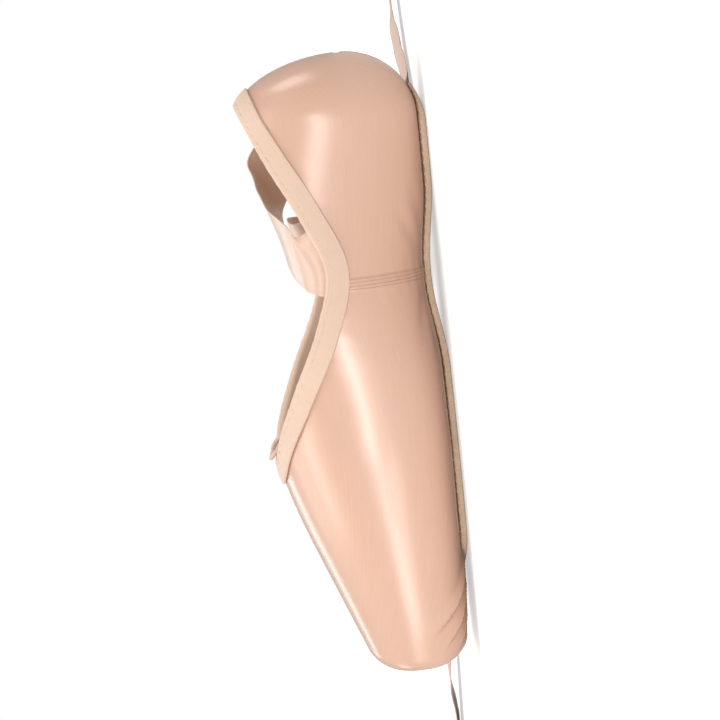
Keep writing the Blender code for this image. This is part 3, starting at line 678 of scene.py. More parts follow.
def mix_colour(tree, share, a, b):
    """A colour between two others."""
    node = tree.nodes.new("ShaderNodeMix")
    node.data_type = "RGBA"
    for label, value in (("Factor", share), ("A", a), ("B", b)):
        socket = next(s for s in node.inputs if s.name == label and s.enabled)
        feed(tree, socket, (*value, 1.0) if isinstance(value, tuple) else value)
    return next(s for s in node.outputs if s.enabled)


def set_sockets(shader, values):
    """Set a finish's own values, each of which is the same all over the surface."""
    for label, value in values.items():
        shader.inputs[label].default_value = value


def darker(colour, shares):
    return tuple(channel * share for channel, share in zip(colour, shares))


def add_bump(tree, shader, height, strength, distance):
    """Give a shader a height in metres."""
    node = tree.nodes.new("ShaderNodeBump")
    node.inputs["Strength"].default_value = strength
    node.inputs["Distance"].default_value = distance
    tree.links.new(height, node.inputs["Height"])
    tree.links.new(node.outputs["Normal"], shader.inputs["Normal"])


# The part of a noise's range that is used where it changes roughness
USUAL_NOISE = (0.3, 0.7)

# How much of each channel is left where shade is painted in a fold and between threads, and in the pits of
# leather
FOLD_SHADE = (0.62, 0.50, 0.44)
THREAD_SHADE = (0.72, 0.72, 0.72)
PIT_SHADE = (0.66, 0.66, 0.66)


def satin_material(name, light, deep, dusty, roughness, sheen, weave_strength=0.10):
    """Peach satin: long floats that shine, soft streaks along the cloth, and a darker colour on its fold
    mark:
    painted shade along the upper's pleats, seam lines and heel groove, and a dark line near the ribbon's
    edges.
    """
    material, tree, shader = new_material(name, light)
    weave = group_node(tree, WEAVE, place_node(tree, "UV"), Threads=2200.0, Float=0.75, Slub=0.10)
    handled = group_node(tree, HANDLED, place_node(tree, "Object"), Size=38.0)
    streaked = mix_colour(tree, remap(tree, weave.outputs["Streak"], 0.30, 0.80), light, deep)
    clouds = math_node(tree, "MULTIPLY", handled.outputs["Mask"], 0.35)
    clouded = mix_colour(tree, clouds, streaked, dusty)
    # Painted shade: the fold mark darkens the colour along the upper's pleats, seam lines and heel groove,
    # and draws a dark line near the ribbon's edges
    folded = mix_colour(tree, mark_node(tree, "fold"), clouded, darker(deep, FOLD_SHADE))
    tree.links.new(folded, shader.inputs["Base Color"])
    duller = math_node(tree, "MULTIPLY", handled.outputs["Mask"], 0.004)
    streak_rough = remap(tree, weave.outputs["Streak"], *USUAL_NOISE, roughness - 0.008, roughness + 0.008)
    tree.links.new(math_node(tree, "ADD", streak_rough, duller), shader.inputs["Roughness"])
    set_sockets(shader, {"Sheen Weight": sheen, "Sheen Roughness": 0.35, "Sheen Tint": (1.0, 0.86, 0.78, 1.0),
                         "Specular IOR Level": 0.95, "Specular Tint": (1.0, 0.87, 0.83, 1.0),
                         "Coat Weight": 0.35, "Coat Roughness": 0.22, "Coat Tint": (1.0, 0.96, 0.94, 1.0)})
    add_bump(tree, shader, weave.outputs["Height"], weave_strength, distance=0.00006)
    return material


def plain_cloth_material(name, light, deep, threads, roughness, strength, kind="UV"):
    """A matte woven cloth such as tape, lining or sock, with fuzz, uneven dye and shade painted between its
    threads.
    """
    material, tree, shader = new_material(name, light)
    weave = group_node(tree, WEAVE, place_node(tree, kind), Threads=threads, Float=0.5, Slub=0.4)
    handled = group_node(tree, HANDLED, place_node(tree, "Object"), Size=60.0)
    worn = math_node(tree, "MULTIPLY", handled.outputs["Mask"], 0.6)
    dyed = mix_colour(tree, worn, light, deep)
    # Painted shade between the threads: darker where the weave lies low
    painted_thread_shade = math_node(tree, "MULTIPLY", remap(tree, weave.outputs["Height"], -0.35, 0.2, 1.0, 0.0), 0.35)
    woven = mix_colour(tree, painted_thread_shade, dyed, darker(deep, THREAD_SHADE))
    tree.links.new(woven, shader.inputs["Base Color"])
    uneven = remap(tree, weave.outputs["Streak"], *USUAL_NOISE, roughness - 0.06, roughness + 0.05)
    tree.links.new(uneven, shader.inputs["Roughness"])
    set_sockets(shader, {"Sheen Weight": 0.25, "Sheen Roughness": 0.6, "Specular IOR Level": 0.3})
    add_bump(tree, shader, weave.outputs["Height"], strength, distance=0.00012)
    return material


def leather_material(name, light, deep, fineness, roughness, strength):
    """Split leather with a short nap, rubbed in clouds."""
    material, tree, shader = new_material(name, light)
    grain = group_node(tree, GRAIN, place_node(tree, "Object"), Fineness=fineness)
    cloudy = mix_colour(tree, remap(tree, grain.outputs["Cloud"], 0.32, 0.68), light, deep)
    specks = math_node(tree, "MULTIPLY", remap(tree, grain.outputs["Height"], 0.55, 0.95), 0.45)
    speckled = mix_colour(tree, specks, cloudy, darker(deep, PIT_SHADE))
    tree.links.new(speckled, shader.inputs["Base Color"])
    rubbed = remap(tree, grain.outputs["Cloud"], *USUAL_NOISE, roughness - 0.08, roughness + 0.06)
    tree.links.new(rubbed, shader.inputs["Roughness"])
    set_sockets(shader, {"Sheen Weight": 0.15, "Specular IOR Level": 0.3})
    add_bump(tree, shader, grain.outputs["Height"], strength, distance=0.0002)
    return material


def thread_material(name, light, deep, roughness):
    """Twisted sewing thread."""
    material, tree, shader = new_material(name, light)
    twist = noise_node(tree, stretched(tree, place_node(tree, "Object"), (2600.0, 2600.0, 2600.0)), 1.0)
    twisted = mix_colour(tree, remap(tree, twist, 0.35, 0.65), light, deep)
    tree.links.new(twisted, shader.inputs["Base Color"])
    rubbed = remap(tree, twist, *USUAL_NOISE, roughness, roughness + 0.15)
    tree.links.new(rubbed, shader.inputs["Roughness"])
    add_bump(tree, shader, twist, strength=0.5, distance=0.0001)
    return material


# Each finish in its light and its deep colour, and the satin's where it is handled
SATIN_LIGHT = (0.830, 0.525, 0.385)
SATIN_DEEP = (0.780, 0.485, 0.350)
SATIN_DUSTY = (0.760, 0.510, 0.400)
RIBBON_LIGHT = (0.850, 0.610, 0.480)
RIBBON_DEEP = (0.800, 0.550, 0.420)
RIBBON_DUSTY = (0.830, 0.600, 0.480)
TAPE_LIGHT = (0.880, 0.640, 0.490)
TAPE_DEEP = (0.840, 0.580, 0.430)
LINING_LIGHT = (0.800, 0.730, 0.640)
LINING_DEEP = (0.720, 0.640, 0.540)
SOCK_LIGHT = (0.820, 0.720, 0.600)
SOCK_DEEP = (0.700, 0.580, 0.460)
BRAID_LIGHT = (0.860, 0.650, 0.520)
BRAID_DEEP = (0.760, 0.520, 0.390)
SOLE_LIGHT = (0.730, 0.610, 0.530)
SOLE_DEEP = (0.620, 0.500, 0.420)
EDGE_LIGHT = (0.860, 0.670, 0.500)
EDGE_DEEP = (0.770, 0.570, 0.410)
THREAD_PEACH = (0.920, 0.720, 0.590)
THREAD_PEACH_DEEP = (0.840, 0.620, 0.480)
THREAD_BROWN = (0.480, 0.290, 0.160)
THREAD_BROWN_DEEP = (0.300, 0.165, 0.085)

SATIN = satin_material("peach satin", SATIN_LIGHT, SATIN_DEEP, SATIN_DUSTY, roughness=0.265, sheen=0.12)
RIBBON_SATIN = satin_material("ribbon satin", RIBBON_LIGHT, RIBBON_DEEP, RIBBON_DUSTY,
                              roughness=0.42, sheen=0.30, weave_strength=0.25)
LINING = plain_cloth_material("cotton lining", LINING_LIGHT, LINING_DEEP,
                              threads=1400.0, roughness=0.88, strength=0.5)
TAPE = plain_cloth_material("binding tape", TAPE_LIGHT, TAPE_DEEP,
                            threads=1700.0, roughness=0.70, strength=0.45)
SOCK = plain_cloth_material("cotton sock", SOCK_LIGHT, SOCK_DEEP,
                            threads=1200.0, roughness=0.90, strength=0.6, kind="Object")
CORD_BRAID = plain_cloth_material("braided cotton cord", BRAID_LIGHT, BRAID_DEEP,
                                  threads=1900.0, roughness=0.80, strength=0.9, kind="Object")
SOLE_FACE = leather_material("split leather", SOLE_LIGHT, SOLE_DEEP,
                             fineness=2400.0, roughness=0.86, strength=0.55)
SOLE_EDGE = leather_material("pared leather edge", EDGE_LIGHT, EDGE_DEEP,
                             fineness=1500.0, roughness=0.70, strength=0.45)
PEACH_THREAD = thread_material("peach sewing thread", THREAD_PEACH, THREAD_PEACH_DEEP, roughness=0.55)
BROWN_THREAD = thread_material("waxed sole thread", THREAD_BROWN, THREAD_BROWN_DEEP, roughness=0.45)

# The camera stands level with the shoe's near side, a little towards the heel, and is rolled until the toe
# points down
CAMERA_TURN = math.radians(7.0)
CAMERA_LIFT = math.radians(1.2)
CAMERA_ROLL = math.radians(96.0)
CAMERA_DISTANCE = 1.30
CAMERA_WIDTH = 0.272
VIEW_MIDDLE = Vector((0.0, 0.0, 0.033))


def make_camera():
    data = bpy.data.cameras.new("side camera")
    camera = bpy.data.objects.new("side camera", data)
    bpy.context.scene.collection.objects.link(camera)
    away = Vector((-math.sin(CAMERA_TURN) * math.cos(CAMERA_LIFT),
                   math.cos(CAMERA_TURN) * math.cos(CAMERA_LIFT),
                   math.sin(CAMERA_LIFT)))
    forward = -away
    level_right = forward.cross(Vector((0, 0, 1))).normalized()
    level_up = level_right.cross(forward)
    up = level_up * math.cos(CAMERA_ROLL) + level_right * math.sin(CAMERA_ROLL)
    right = forward.cross(up)
    turned = Matrix((right, up, away)).transposed().to_4x4()
    camera.matrix_world = Matrix.Translation(VIEW_MIDDLE + away * CAMERA_DISTANCE) @ turned
    data.sensor_width = 36.0
    data.lens = data.sensor_width * CAMERA_DISTANCE / CAMERA_WIDTH
    data.clip_start = 0.05
    data.clip_end = 50.0
    bpy.context.scene.camera = camera


def smooth_route(points, count):
    """Even points along one smooth curve through the given points, which may hold more than a place."""
    points = np.array(points, dtype=float)
    lengths = lengths_along(points[:, :3])
    stops = np.linspace(0.0, lengths[-1], count)
    return np.stack([curve_through(lengths, column)(stops) for column in points.T], axis=1)


def make_drawstring():
    """The braided cord that comes up through the notch of the binding and goes back under it."""
    throat = collar_points([THROAT], 1.0)[0]
    route = smooth_route([throat + np.array(p) for p in DRAWSTRING_ROUTE], 40)
    curve = bpy.data.curves.new("drawstring_braid", "CURVE")
    curve.dimensions = "3D"
    curve.bevel_depth = DRAWSTRING_DIAMETER / 2
    curve.bevel_resolution = 5
    curve.use_fill_caps = True
    curve.resolution_u = 4
    spline = curve.splines.new("POLY")
    spline.points.add(len(route) - 1)
    spline.points.foreach_set("co", np.concatenate([route, np.ones((len(route), 1))], axis=1).ravel())
    curve.materials.append(CORD_BRAID)
    cord = bpy.data.objects.new("drawstring_braid", curve)
    bpy.context.scene.collection.objects.link(cord)
    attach(cord, "root")
    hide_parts("drawstring")


# The upper

def add_rows(rows, wanted, clear):
    """Take each wanted station that is this clear of the rows there are."""
    for station in wanted:
        if min(abs(station - row) for row in rows) > clear:
            rows.append(float(station))


def close_at_start(count):
    """Shares up to 1 that stand closer the nearer they are to 0."""
    return (np.arange(1, count + 1) / count) ** 2


def upper_rows():
    """Stations of the upper's rows: close at the heel's back, the collar's ends, the seam and the toe."""
    corner = LENGTH - TOE_SOLE_ROUND * (1 - np.sin(np.pi / 2 * np.arange(CORNER_ROWS + 1) / CORNER_ROWS))
    back = HEEL_REACH * (1 - np.cos(np.pi / 2 * np.arange(BACK_ROWS) / BACK_ROWS))
    rows = [0.0, HEEL_RAKE, THROAT] + list(corner[1:])
    add_rows(rows, WAIST_SEAM + np.linspace(-SEAM_ROWS_REACH, SEAM_ROWS_REACH, SEAM_ROWS), clear=0.0001)
    add_rows(rows, HEEL_RAKE + HEEL_ROWS_REACH * close_at_start(HEEL_ROWS), clear=0.00004)
    add_rows(rows, THROAT - THROAT_ROWS_REACH * close_at_start(THROAT_ROWS), clear=0.00004)
    add_rows(rows, back, clear=0.00005)
    add_rows(rows, np.arange(TOE_ROWS_START, LENGTH - TOE_SOLE_ROUND, TOE_ROW_SPACING), clear=0.0003)
    add_rows(rows, np.arange(0.0, LENGTH, ROW_SPACING), clear=0.0006)
    return np.array(sorted(rows))


def section_rows(stations):
    """Points and girths of the upper's rows, each from the far collar under the sole to the near collar."""
    points, girths = [], []
    share = np.concatenate([np.linspace(0, 1, SOLE_COLUMNS + 1), np.linspace(0, 1, SIDE_COLUMNS + 1)[1:]])
    for station in stations:
        section = girth(station)
        turns = np.linspace(-1.0, float(collar_turn(station)), SECTION_SAMPLES)
        y, z = around(section, turns)
        lengths = np.concatenate([[0.0], np.cumsum(np.hypot(np.diff(y), np.diff(z)))])
        near = min(SOLE_COLUMNS_REACH, SOLE_COLUMNS_MOST * lengths[-1])
        beyond = near + share * (lengths[-1] - near)
        stops = np.where(np.arange(len(share)) <= SOLE_COLUMNS, share * near, beyond)
        y, z = around(section, np.interp(stops, lengths, turns) if lengths[-1] > 0 else turns[:len(stops)])
        half = np.stack([np.full(len(stops), station - LENGTH / 2), y, z], axis=1)
        other = half[::-1].copy()
        other[:, 1] *= -1
        points.append(np.concatenate([other[:-1], half]))
        girths.append(np.concatenate([-stops[::-1][:-1], stops]))
    return np.array(points), np.array(girths)


def grid_normals(points):
    """Outward directions of a grid of points whose rows run towards the toe."""
    across = np.gradient(points, axis=1)
    along = np.gradient(points, axis=0)
    normals = np.cross(along, across)
    middle = points.mean(axis=1, keepdims=True)
    facing = np.sum(normals * (points - middle), axis=2)
    if facing.sum() < 0:
        normals = -normals
    return unit(normals)


def beside_line(station, across, line):
    """Progress along a line on the cloth, and the distance beside it."""
    start = np.array([line.station, line.girth])
    way = np.array([line.end_station, line.end_girth]) - start
    length = np.hypot(*way)
    along = ((station - start[0]) * way[0] + (across - start[1]) * way[1]) / length
    beside = ((across - start[1]) * way[0] - (station - start[0]) * way[1]) / length
    return along / length, beside


# The relief of the cloth: depths, widths and wavelengths in metres. What appears or fades does so between
# two shares of its line or two places.
PLEAT_REACH = 0.0024
PLEAT_WIDENS = 0.0040
PLEAT_EDGE = 0.00028
PLEAT_HOLLOW = 1.2
PLEAT_APPEARS = (-0.03, 0.10)
PLEAT_FADES = (0.72, 1.02)
# Painted shade along each pleat: where its dark line lies beside the fold, how wide it is and how dark
FOLD_PLACE = -0.00040
FOLD_WIDTH = 0.00050
FOLD_DARKNESS = 0.95
CREASE_APPEARS = (-0.10, 0.35)
CREASE_FADES = (0.60, 1.12)
CREASE_LIP = 0.45
CREASE_LIP_PLACE = 1.9
SEAM_STITCH_LINES = (-0.0019, -0.0007, 0.0006, 0.0018)
SEAM_STITCH_DEPTH = 0.00026
SEAM_APPEARS = (0.0004, 0.0030)
SEAM_EDGE = (SEAM_WIDTH / 2 - 0.0002, SEAM_WIDTH / 2 + 0.0003)
# How dark the shade painted in the seam's sunken stitch lines is
SEAM_DARKNESS = 0.45
STITCH_LINE_WIDTH = 0.00028
SEAM_PUCKER_DEPTH = 0.00009
SEAM_PUCKER_PITCH = 0.0052
SEAM_PUCKER_REACH = 0.0060
HEEL_SEAM_FADES = (HEEL_RAKE - 0.001, HEEL_RAKE + 0.002)
HEEL_RIDGE = 0.00034
HEEL_RIDGE_EDGE = (0.0012, 0.0019)
HEEL_GROOVE = 0.00040
# How dark the shade painted in the back seam's groove is
HEEL_DARKNESS = 0.5
COVER_EDGE = 0.0006
GATHER_DEPTH = 0.00013
GATHER_PITCH = 0.0047
GATHER_REACH = 0.0035
GATHER_UNEVEN = 5.0
GATHER_APPEARS = (0.030, 0.050)
GATHER_FADES = (0.175, 0.190)
COLLAR_PUCKER_DEPTH = 0.00010
COLLAR_PUCKER_PITCH = 0.0063
COLLAR_PUCKER_REACH = 0.010
COLLAR_PUCKER_UNEVEN = 4.0
STIFFENING = 0.75
WAVE_DEPTH = 0.00034
WAVE_LENGTH = 0.034
WOBBLE_DEPTH = 0.00010
WOBBLE_LENGTH = 0.016


def pleat_relief(station, across):
    """Height of the pleats, and the painted shade along each fold."""
    relief = np.zeros_like(across)
    painted_shade = np.zeros_like(across)
    for pleat in PLEATS:
        side = 1.0 if pleat.girth > 0 else -1.0
        progress, beside = beside_line(station, across, pleat)
        beside = beside * side
        reach = PLEAT_REACH + PLEAT_WIDENS * np.clip(progress, 0.0, 1.0)
        shown = ease(progress, *PLEAT_APPEARS) * (1.0 - ease(progress, *PLEAT_FADES))
        face = np.clip(1.0 - beside / reach, 0.0, 1.0) ** PLEAT_HOLLOW
        edge = np.exp(-(np.minimum(beside, 0.0) / PLEAT_EDGE) ** 2)
        relief = np.maximum(relief, pleat.lift * shown * np.where(beside >= 0.0, face, edge))
        painted_shade = np.maximum(painted_shade, shown * bump_at(beside, FOLD_PLACE, FOLD_WIDTH))
    return relief, painted_shade


def crease_relief(station, across):
    """Soft creases, each a trough between two low lips."""
    relief = np.zeros_like(across)
    for crease in CREASES:
        progress, beside = beside_line(station, across, crease)
        shown = ease(progress, *CREASE_APPEARS) * (1.0 - ease(progress, *CREASE_FADES))
        trough = -bump_at(beside, 0.0, crease.width)
        lips = CREASE_LIP * (bump_at(beside, CREASE_LIP_PLACE * crease.width, crease.width) +
                             bump_at(beside, -CREASE_LIP_PLACE * crease.width, crease.width))
        relief += crease.depth * shown * (trough + lips)
    return relief


def seam_relief(station, across):
    """The felled waist seam: a flat rib, sunken stitch lines with shade painted in them, and puckers beside
    it.
    """
    beside = station - WAIST_SEAM
    from_sole = ease(np.abs(across) - outsole_half(station), *SEAM_APPEARS)
    rib = SEAM_RISE * (1.0 - ease(np.abs(beside), *SEAM_EDGE))
    lines = sum(bump_at(beside, place, STITCH_LINE_WIDTH) for place in SEAM_STITCH_LINES)
    turns = 2 * np.pi * np.abs(across) / SEAM_PUCKER_PITCH
    puckers = SEAM_PUCKER_DEPTH * np.sin(turns + 2.0 * np.sign(across))
    puckers = puckers * bump_at(beside, 0.0, SEAM_PUCKER_REACH)
    relief = from_sole * (rib - SEAM_STITCH_DEPTH * lines + puckers)
    # The second value is the painted shade in the sunken stitch lines
    return relief, SEAM_DARKNESS * from_sole * np.clip(lines, 0.0, 1.0)


def heel_seam_relief(points, station):
    """The back seam, from the sole up to the collar, with shade painted in its stitch groove."""
    at_heel = 1.0 - ease(station, *HEEL_SEAM_FADES)
    y = np.abs(points[:, :, 1])
    ridge = HEEL_RIDGE * (1.0 - ease(y, *HEEL_RIDGE_EDGE))
    groove = bump_at(y, 0.0, STITCH_LINE_WIDTH)
    # The second value is the painted shade in the groove
    return at_heel * (ridge - HEEL_GROOVE * groove), HEEL_DARKNESS * at_heel * groove


def soft_noise(points, wave, seed):
    """Smooth unevenness from -1 to 1, of this wavelength."""
    shift = Vector((seed * 3.17, seed * 1.31, seed * 2.23))
    flat = points.reshape(-1, 3) / wave
    values = [noise.noise(Vector(point) + shift) for point in flat]
    return np.array(values).reshape(points.shape[:2])


def upper_relief(points, station, across, lengths):
    """How far the cloth stands off the last, and the shade painted along its pleats, seam lines and heel
    groove.
    """
    uncovered = ease(np.abs(across) - outsole_half(station), -COVER_EDGE, COVER_EDGE)
    uncovered = np.where((station < OUTSOLE_BACK) | (station > OUTSOLE_TIP), 1.0, uncovered)
    pleats, painted_shade = pleat_relief(station, across)
    seam, seam_painted_shade = seam_relief(station, across)
    heel, heel_painted_shade = heel_seam_relief(points, station)
    wobble = soft_noise(points, WOBBLE_LENGTH, 1)
    to_sole = np.maximum(np.abs(across) - outsole_half(station), 0.0)
    held = np.exp(-to_sole / GATHER_REACH) * ease(station, *GATHER_APPEARS)
    held = held * (1 - ease(station, *GATHER_FADES))
    gather_turns = 2 * np.pi * station / GATHER_PITCH + GATHER_UNEVEN * wobble
    gathers = -GATHER_DEPTH * held * (0.5 + 0.5 * np.sin(gather_turns))
    from_top = lengths - np.abs(across)
    collar = (station > HEEL_RAKE) & (station < THROAT)
    pulled = np.where(collar, np.exp(-from_top / COLLAR_PUCKER_REACH), 0.0)
    pucker_turns = 2 * np.pi * station / COLLAR_PUCKER_PITCH + COLLAR_PUCKER_UNEVEN * wobble
    puckers = COLLAR_PUCKER_DEPTH * pulled * np.sin(pucker_turns)
    softness = 1.0 - STIFFENING * ease(station, STIFF_START, STIFF_END)
    waves = WAVE_DEPTH * softness * soft_noise(points, WAVE_LENGTH, 2) + WOBBLE_DEPTH * wobble * softness
    relief = uncovered * (pleats + crease_relief(station, across) + gathers + puckers + waves) + seam + heel
    return relief, np.clip(uncovered * painted_shade * FOLD_DARKNESS + seam_painted_shade + heel_painted_shade, 0.0, 1.0)


def make_upper():
    """The satin over the last, its lining a wall further in, and the rims that join them at the collar."""
    stations = upper_rows()
    points, across = section_rows(stations)
    rings = len(stations)
    ring = points[-1]
    middle = np.array([LENGTH / 2, 0.0, (ring[:, 2].min() + ring[:, 2].max()) / 2])
    shrunk = [1 - k / FACE_ROWS for k in range(1, FACE_ROWS + 1)]
    points = np.concatenate([points, [middle + (ring - middle) * share for share in shrunk]])
    across = np.concatenate([across, [across[-1] * share for share in shrunk]])
    on_face = np.concatenate([np.zeros(rings), np.arange(1, FACE_ROWS + 1) / FACE_ROWS * FACE_REACH])
    station = np.concatenate([stations, np.full(FACE_ROWS, LENGTH)])[:, None] + 0.0 * across
    along = station + on_face[:, None]
    normals = grid_normals(points)
    normals[rings:] = (1.0, 0.0, 0.0)
    normals[0] = (-1.0, 0.0, 0.0)
    closed = (station[:, 0] <= HEEL_RAKE) | (station[:, 0] >= THROAT)
    for column in (0, -1):
        normals[closed, column, 1] = 0.0
    normals = unit(normals)
    lengths = np.abs(across[:, -1:]) + 0.0 * across
    relief, painted_shade = upper_relief(points, station, across, lengths)
    relief[rings:] = 0.0
    painted_shade[rings:] = 0.0
    for values in (relief, painted_shade):
        values[closed, 0] = values[closed, -1] = (values[closed, 0] + values[closed, -1]) / 2
    outer = points + normals * relief[:, :, None]
    inner = points - normals * wall(station)[:, :, None]
    # The fold mark carries the painted shade of the pleats, seam lines and heel groove
    marks = {"fold": painted_shade, "along": along, "across": across}
    satin = rows_piece("satin_upper", outer, [SATIN, LINING], marks=marks)
    lining = rows_piece("lining", inner, [SATIN, LINING], marks=marks)
    lining.data.polygons.foreach_set("material_index", [1] * len(lining.data.polygons))
    pieces = [satin, lining]
    rim_rows = np.nonzero((stations >= HEEL_RAKE) & (stations <= THROAT))[0]
    for column in (0, -1):
        steps = np.linspace(0.0, 1.0, RIM_COLUMNS)[None, :, None]
        edge, back = outer[rim_rows, column][:, None, :], inner[rim_rows, column][:, None, :]
        over_rim = np.linspace(0, RIM_REACH, RIM_COLUMNS)[None, :]
        rim_marks = {"fold": np.zeros((len(rim_rows), RIM_COLUMNS)),
                     "along": station[rim_rows, :RIM_COLUMNS],
                     "across": across[rim_rows, column][:, None] + over_rim}
        pieces.append(rows_piece("rim", edge + (back - edge) * steps, [SATIN, LINING], marks=rim_marks))
    for piece in pieces:
        lay_pattern(piece, "along", "across")
    upper = join(pieces, "satin_upper")
    tidy_mesh(upper)
    smooth(upper, degrees=60)
    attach(upper, "root")
    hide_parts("upper")


# The sole and the sock

def plate_piece(name, stations, half, low, thickness, edge, columns, materials):
    """A plate between two curved faces, with rounded edges, as rings from its back end to its tip."""
    template = []
    for side, top, way in ((1.0, 0, -1.0), (-1.0, 1, 1.0)):
        for share in np.linspace(-side, side, columns):
            template.append((share, 0.0, top, way))
        for angle in np.radians([30.0, 60.0, 90.0]):
            template.append((side, side * math.sin(angle), top, way * math.cos(angle)))
        for angle in np.radians([0.0, 30.0, 60.0]):
            template.append((side, side * math.cos(angle), 1 - top, -way * math.sin(angle)))
    template.append(template[0])
    flat_share, out, top, up = (np.array(column)[None, :] for column in zip(*template))
    station = stations[:, None] + 0.0 * flat_share
    halves = half(stations)[:, None]
    rounds = np.minimum(edge, 0.6 * halves)
    y = flat_share * (halves - rounds) + out * rounds
    base = low(station, y)
    z = np.where(top == 1, base + thickness(station) - edge + edge * up, base + edge + edge * up)
    piece = rows_piece(name, np.stack([station - LENGTH / 2, y, z], axis=2), materials)
    tidy_mesh(piece)
    smooth(piece, degrees=50)
    return piece


def turning(start, end, count):
    """Stations that stand close at the start, where an outline turns."""
    return start + (end - start) * (1 - np.cos(np.pi / 2 * np.arange(count + 1) / count))


def sole_stations(start, end, start_round, end_round, count):
    """Stations of a plate with round ends."""
    return np.concatenate([turning(start, start + start_round, 14),
                           np.linspace(start + start_round, end - end_round, count)[1:-1],
                           turning(end, end - end_round, 18)[::-1]])


def outsole_top(station):
    """The face of the outsole that lies against the satin."""
    return girth(station).bottom - FIT_GAP


def outsole_low(station, y):
    """The standing face of the outsole."""
    from_ends = np.minimum(station - OUTSOLE_BACK, OUTSOLE_TIP - station)
    skived = OUTSOLE_SKIVE * (1.0 - ease(from_ends, 0.0, OUTSOLE_HEEL_ROUND))
    return outsole_top(station) - OUTSOLE_THICKNESS + skived


# A face of the outsole whose normal points down more steeply than this is one it stands on
STANDING_FACE_SLOPE = -0.85


def make_outsole():
    """The split leather sole, its edge pared and rounded."""
    stations = sole_stations(OUTSOLE_BACK, OUTSOLE_TIP, OUTSOLE_HEEL_ROUND, OUTSOLE_TOE_ROUND, count=90)

    def thickness(station):
        return outsole_top(station) - outsole_low(station, 0.0)

    sole = plate_piece("leather_outsole", stations, outsole_half, outsole_low, thickness,
                       edge=0.0006, columns=18, materials=[SOLE_FACE, SOLE_EDGE])
    for polygon in sole.data.polygons:
        polygon.material_index = 0 if polygon.normal.z < STANDING_FACE_SLOPE else 1
    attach(sole, "root")
    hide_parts("outsole")


def last_floor(station, y):
    """Height of the last's underside."""
    section = girth(station)
    beyond = np.clip((np.abs(y) - section.flat) / np.maximum(section.half - section.flat, 1e-6), 0.0, 1.0)
    depth = (section.widest - section.bottom) * (1.0 - beyond ** section.flank) ** (1 / section.flank)
    return section.widest - depth


def make_sock():
    """The cotton sock that covers the shank."""
    stations = sole_stations(INSOLE_START, INSOLE_END, OUTSOLE_HEEL_ROUND, OUTSOLE_TOE_ROUND, count=90)

    def half(station):
        rounding = end_rounding(station, INSOLE_START, INSOLE_END, OUTSOLE_HEEL_ROUND, OUTSOLE_TOE_ROUND)
        return (girth(station).flat + INSOLE_MARGIN) * rounding

    def low(station, y):
        along = (last_floor(station + TINY, y) - last_floor(station - TINY, y)) / (2 * TINY)
        across = (last_floor(station, np.abs(y) + TINY) - last_floor(station, np.abs(y))) / TINY
        lean = np.sqrt(1.0 + along * along + across * across)
        return last_floor(station, y) + (wall(station) + RIBBON_EASE) * lean

    sock = plate_piece("sock", stations, half, low, lambda station: INSOLE_THICKNESS + 0.0 * station,
                       edge=0.0005, columns=24, materials=[SOCK])
    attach(sock, "root")
    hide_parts("insole")


# The binding

def collar_frames(count):
    """Even points along the collar, from one end of the binding round the heel to the other.

    With each come its directions out of the shoe and down its wall.
    """
    open_rows = np.array([s for s in upper_rows() if HEEL_RAKE <= s <= THROAT])
    near = collar_points(open_rows[::-1], 1.0)
    far = collar_points(open_rows, -1.0)
    loop = np.concatenate([near, far[1:]])
    loop = loop[(np.abs(loop[:, 1]) > BINDING_NOTCH / 2) | (loop[:, 0] < 0.0)]
    first = collar_points([THROAT], 1.0)[0]
    first[1] = BINDING_NOTCH / 2
    first[0] -= TINY / 10
    loop = np.concatenate([[first], loop, [first * (1, -1, 1)]])
    loop = even_points(loop, count)
    along = unit(np.gradient(loop, axis=0))
    along[0] = along[-1] = (0.0, 1.0, 0.0)
    normals = outward(loop)
    return loop, normals, unit(np.cross(along, normals))


BINDING_RINGS = 330
OUTER_LEG_SHARES = (1.0, 0.97, 0.90, 0.78, 0.62, 0.45, 0.30, 0.15)
INNER_LEG_SHARES = (0.25, 0.5, 0.75, 1.0)
FOLD_ANGLES = (0.0, 20.0, 40.0, 60.0, 75.0, 90.0, 105.0, 120.0, 140.0, 160.0, 180.0)
FOLD_FULLNESS = 0.85
FOLD_RISE = 1.05
GATHER_EVERYWHERE = 0.00007
GATHER_AT_THROAT = 0.00016
THROAT_GATHER_REACH = 0.022
BINDING_GATHER_PITCH = 0.0041
BINDING_GATHER_SWAY = 0.031
LEG_PUFF = 0.00012
LEG_EDGE_TUCK = 0.00030
STITCH_SINK = 0.00014
LOW_STITCHES = 0.86
LOW_SINK_WIDTH = 0.05
HIGH_STITCHES = 0.14
HIGH_SINK_WIDTH = 0.06
STITCH_LENGTH = 0.0026
STITCH_THICKNESS = 0.00028
STITCH_PITCH = 0.0036
STITCH_LIFT = 0.00002
STITCH_BEND = 0.26
STITCH_DIVE = 0.85
SOLE_STITCH_LENGTH = 0.0034
SOLE_STITCH_THICKNESS = 0.00062
SOLE_STITCH_PITCH = 0.0040
SOLE_STITCH_OUT = 0.00005
SOLE_STITCH_BELOW = 0.00012


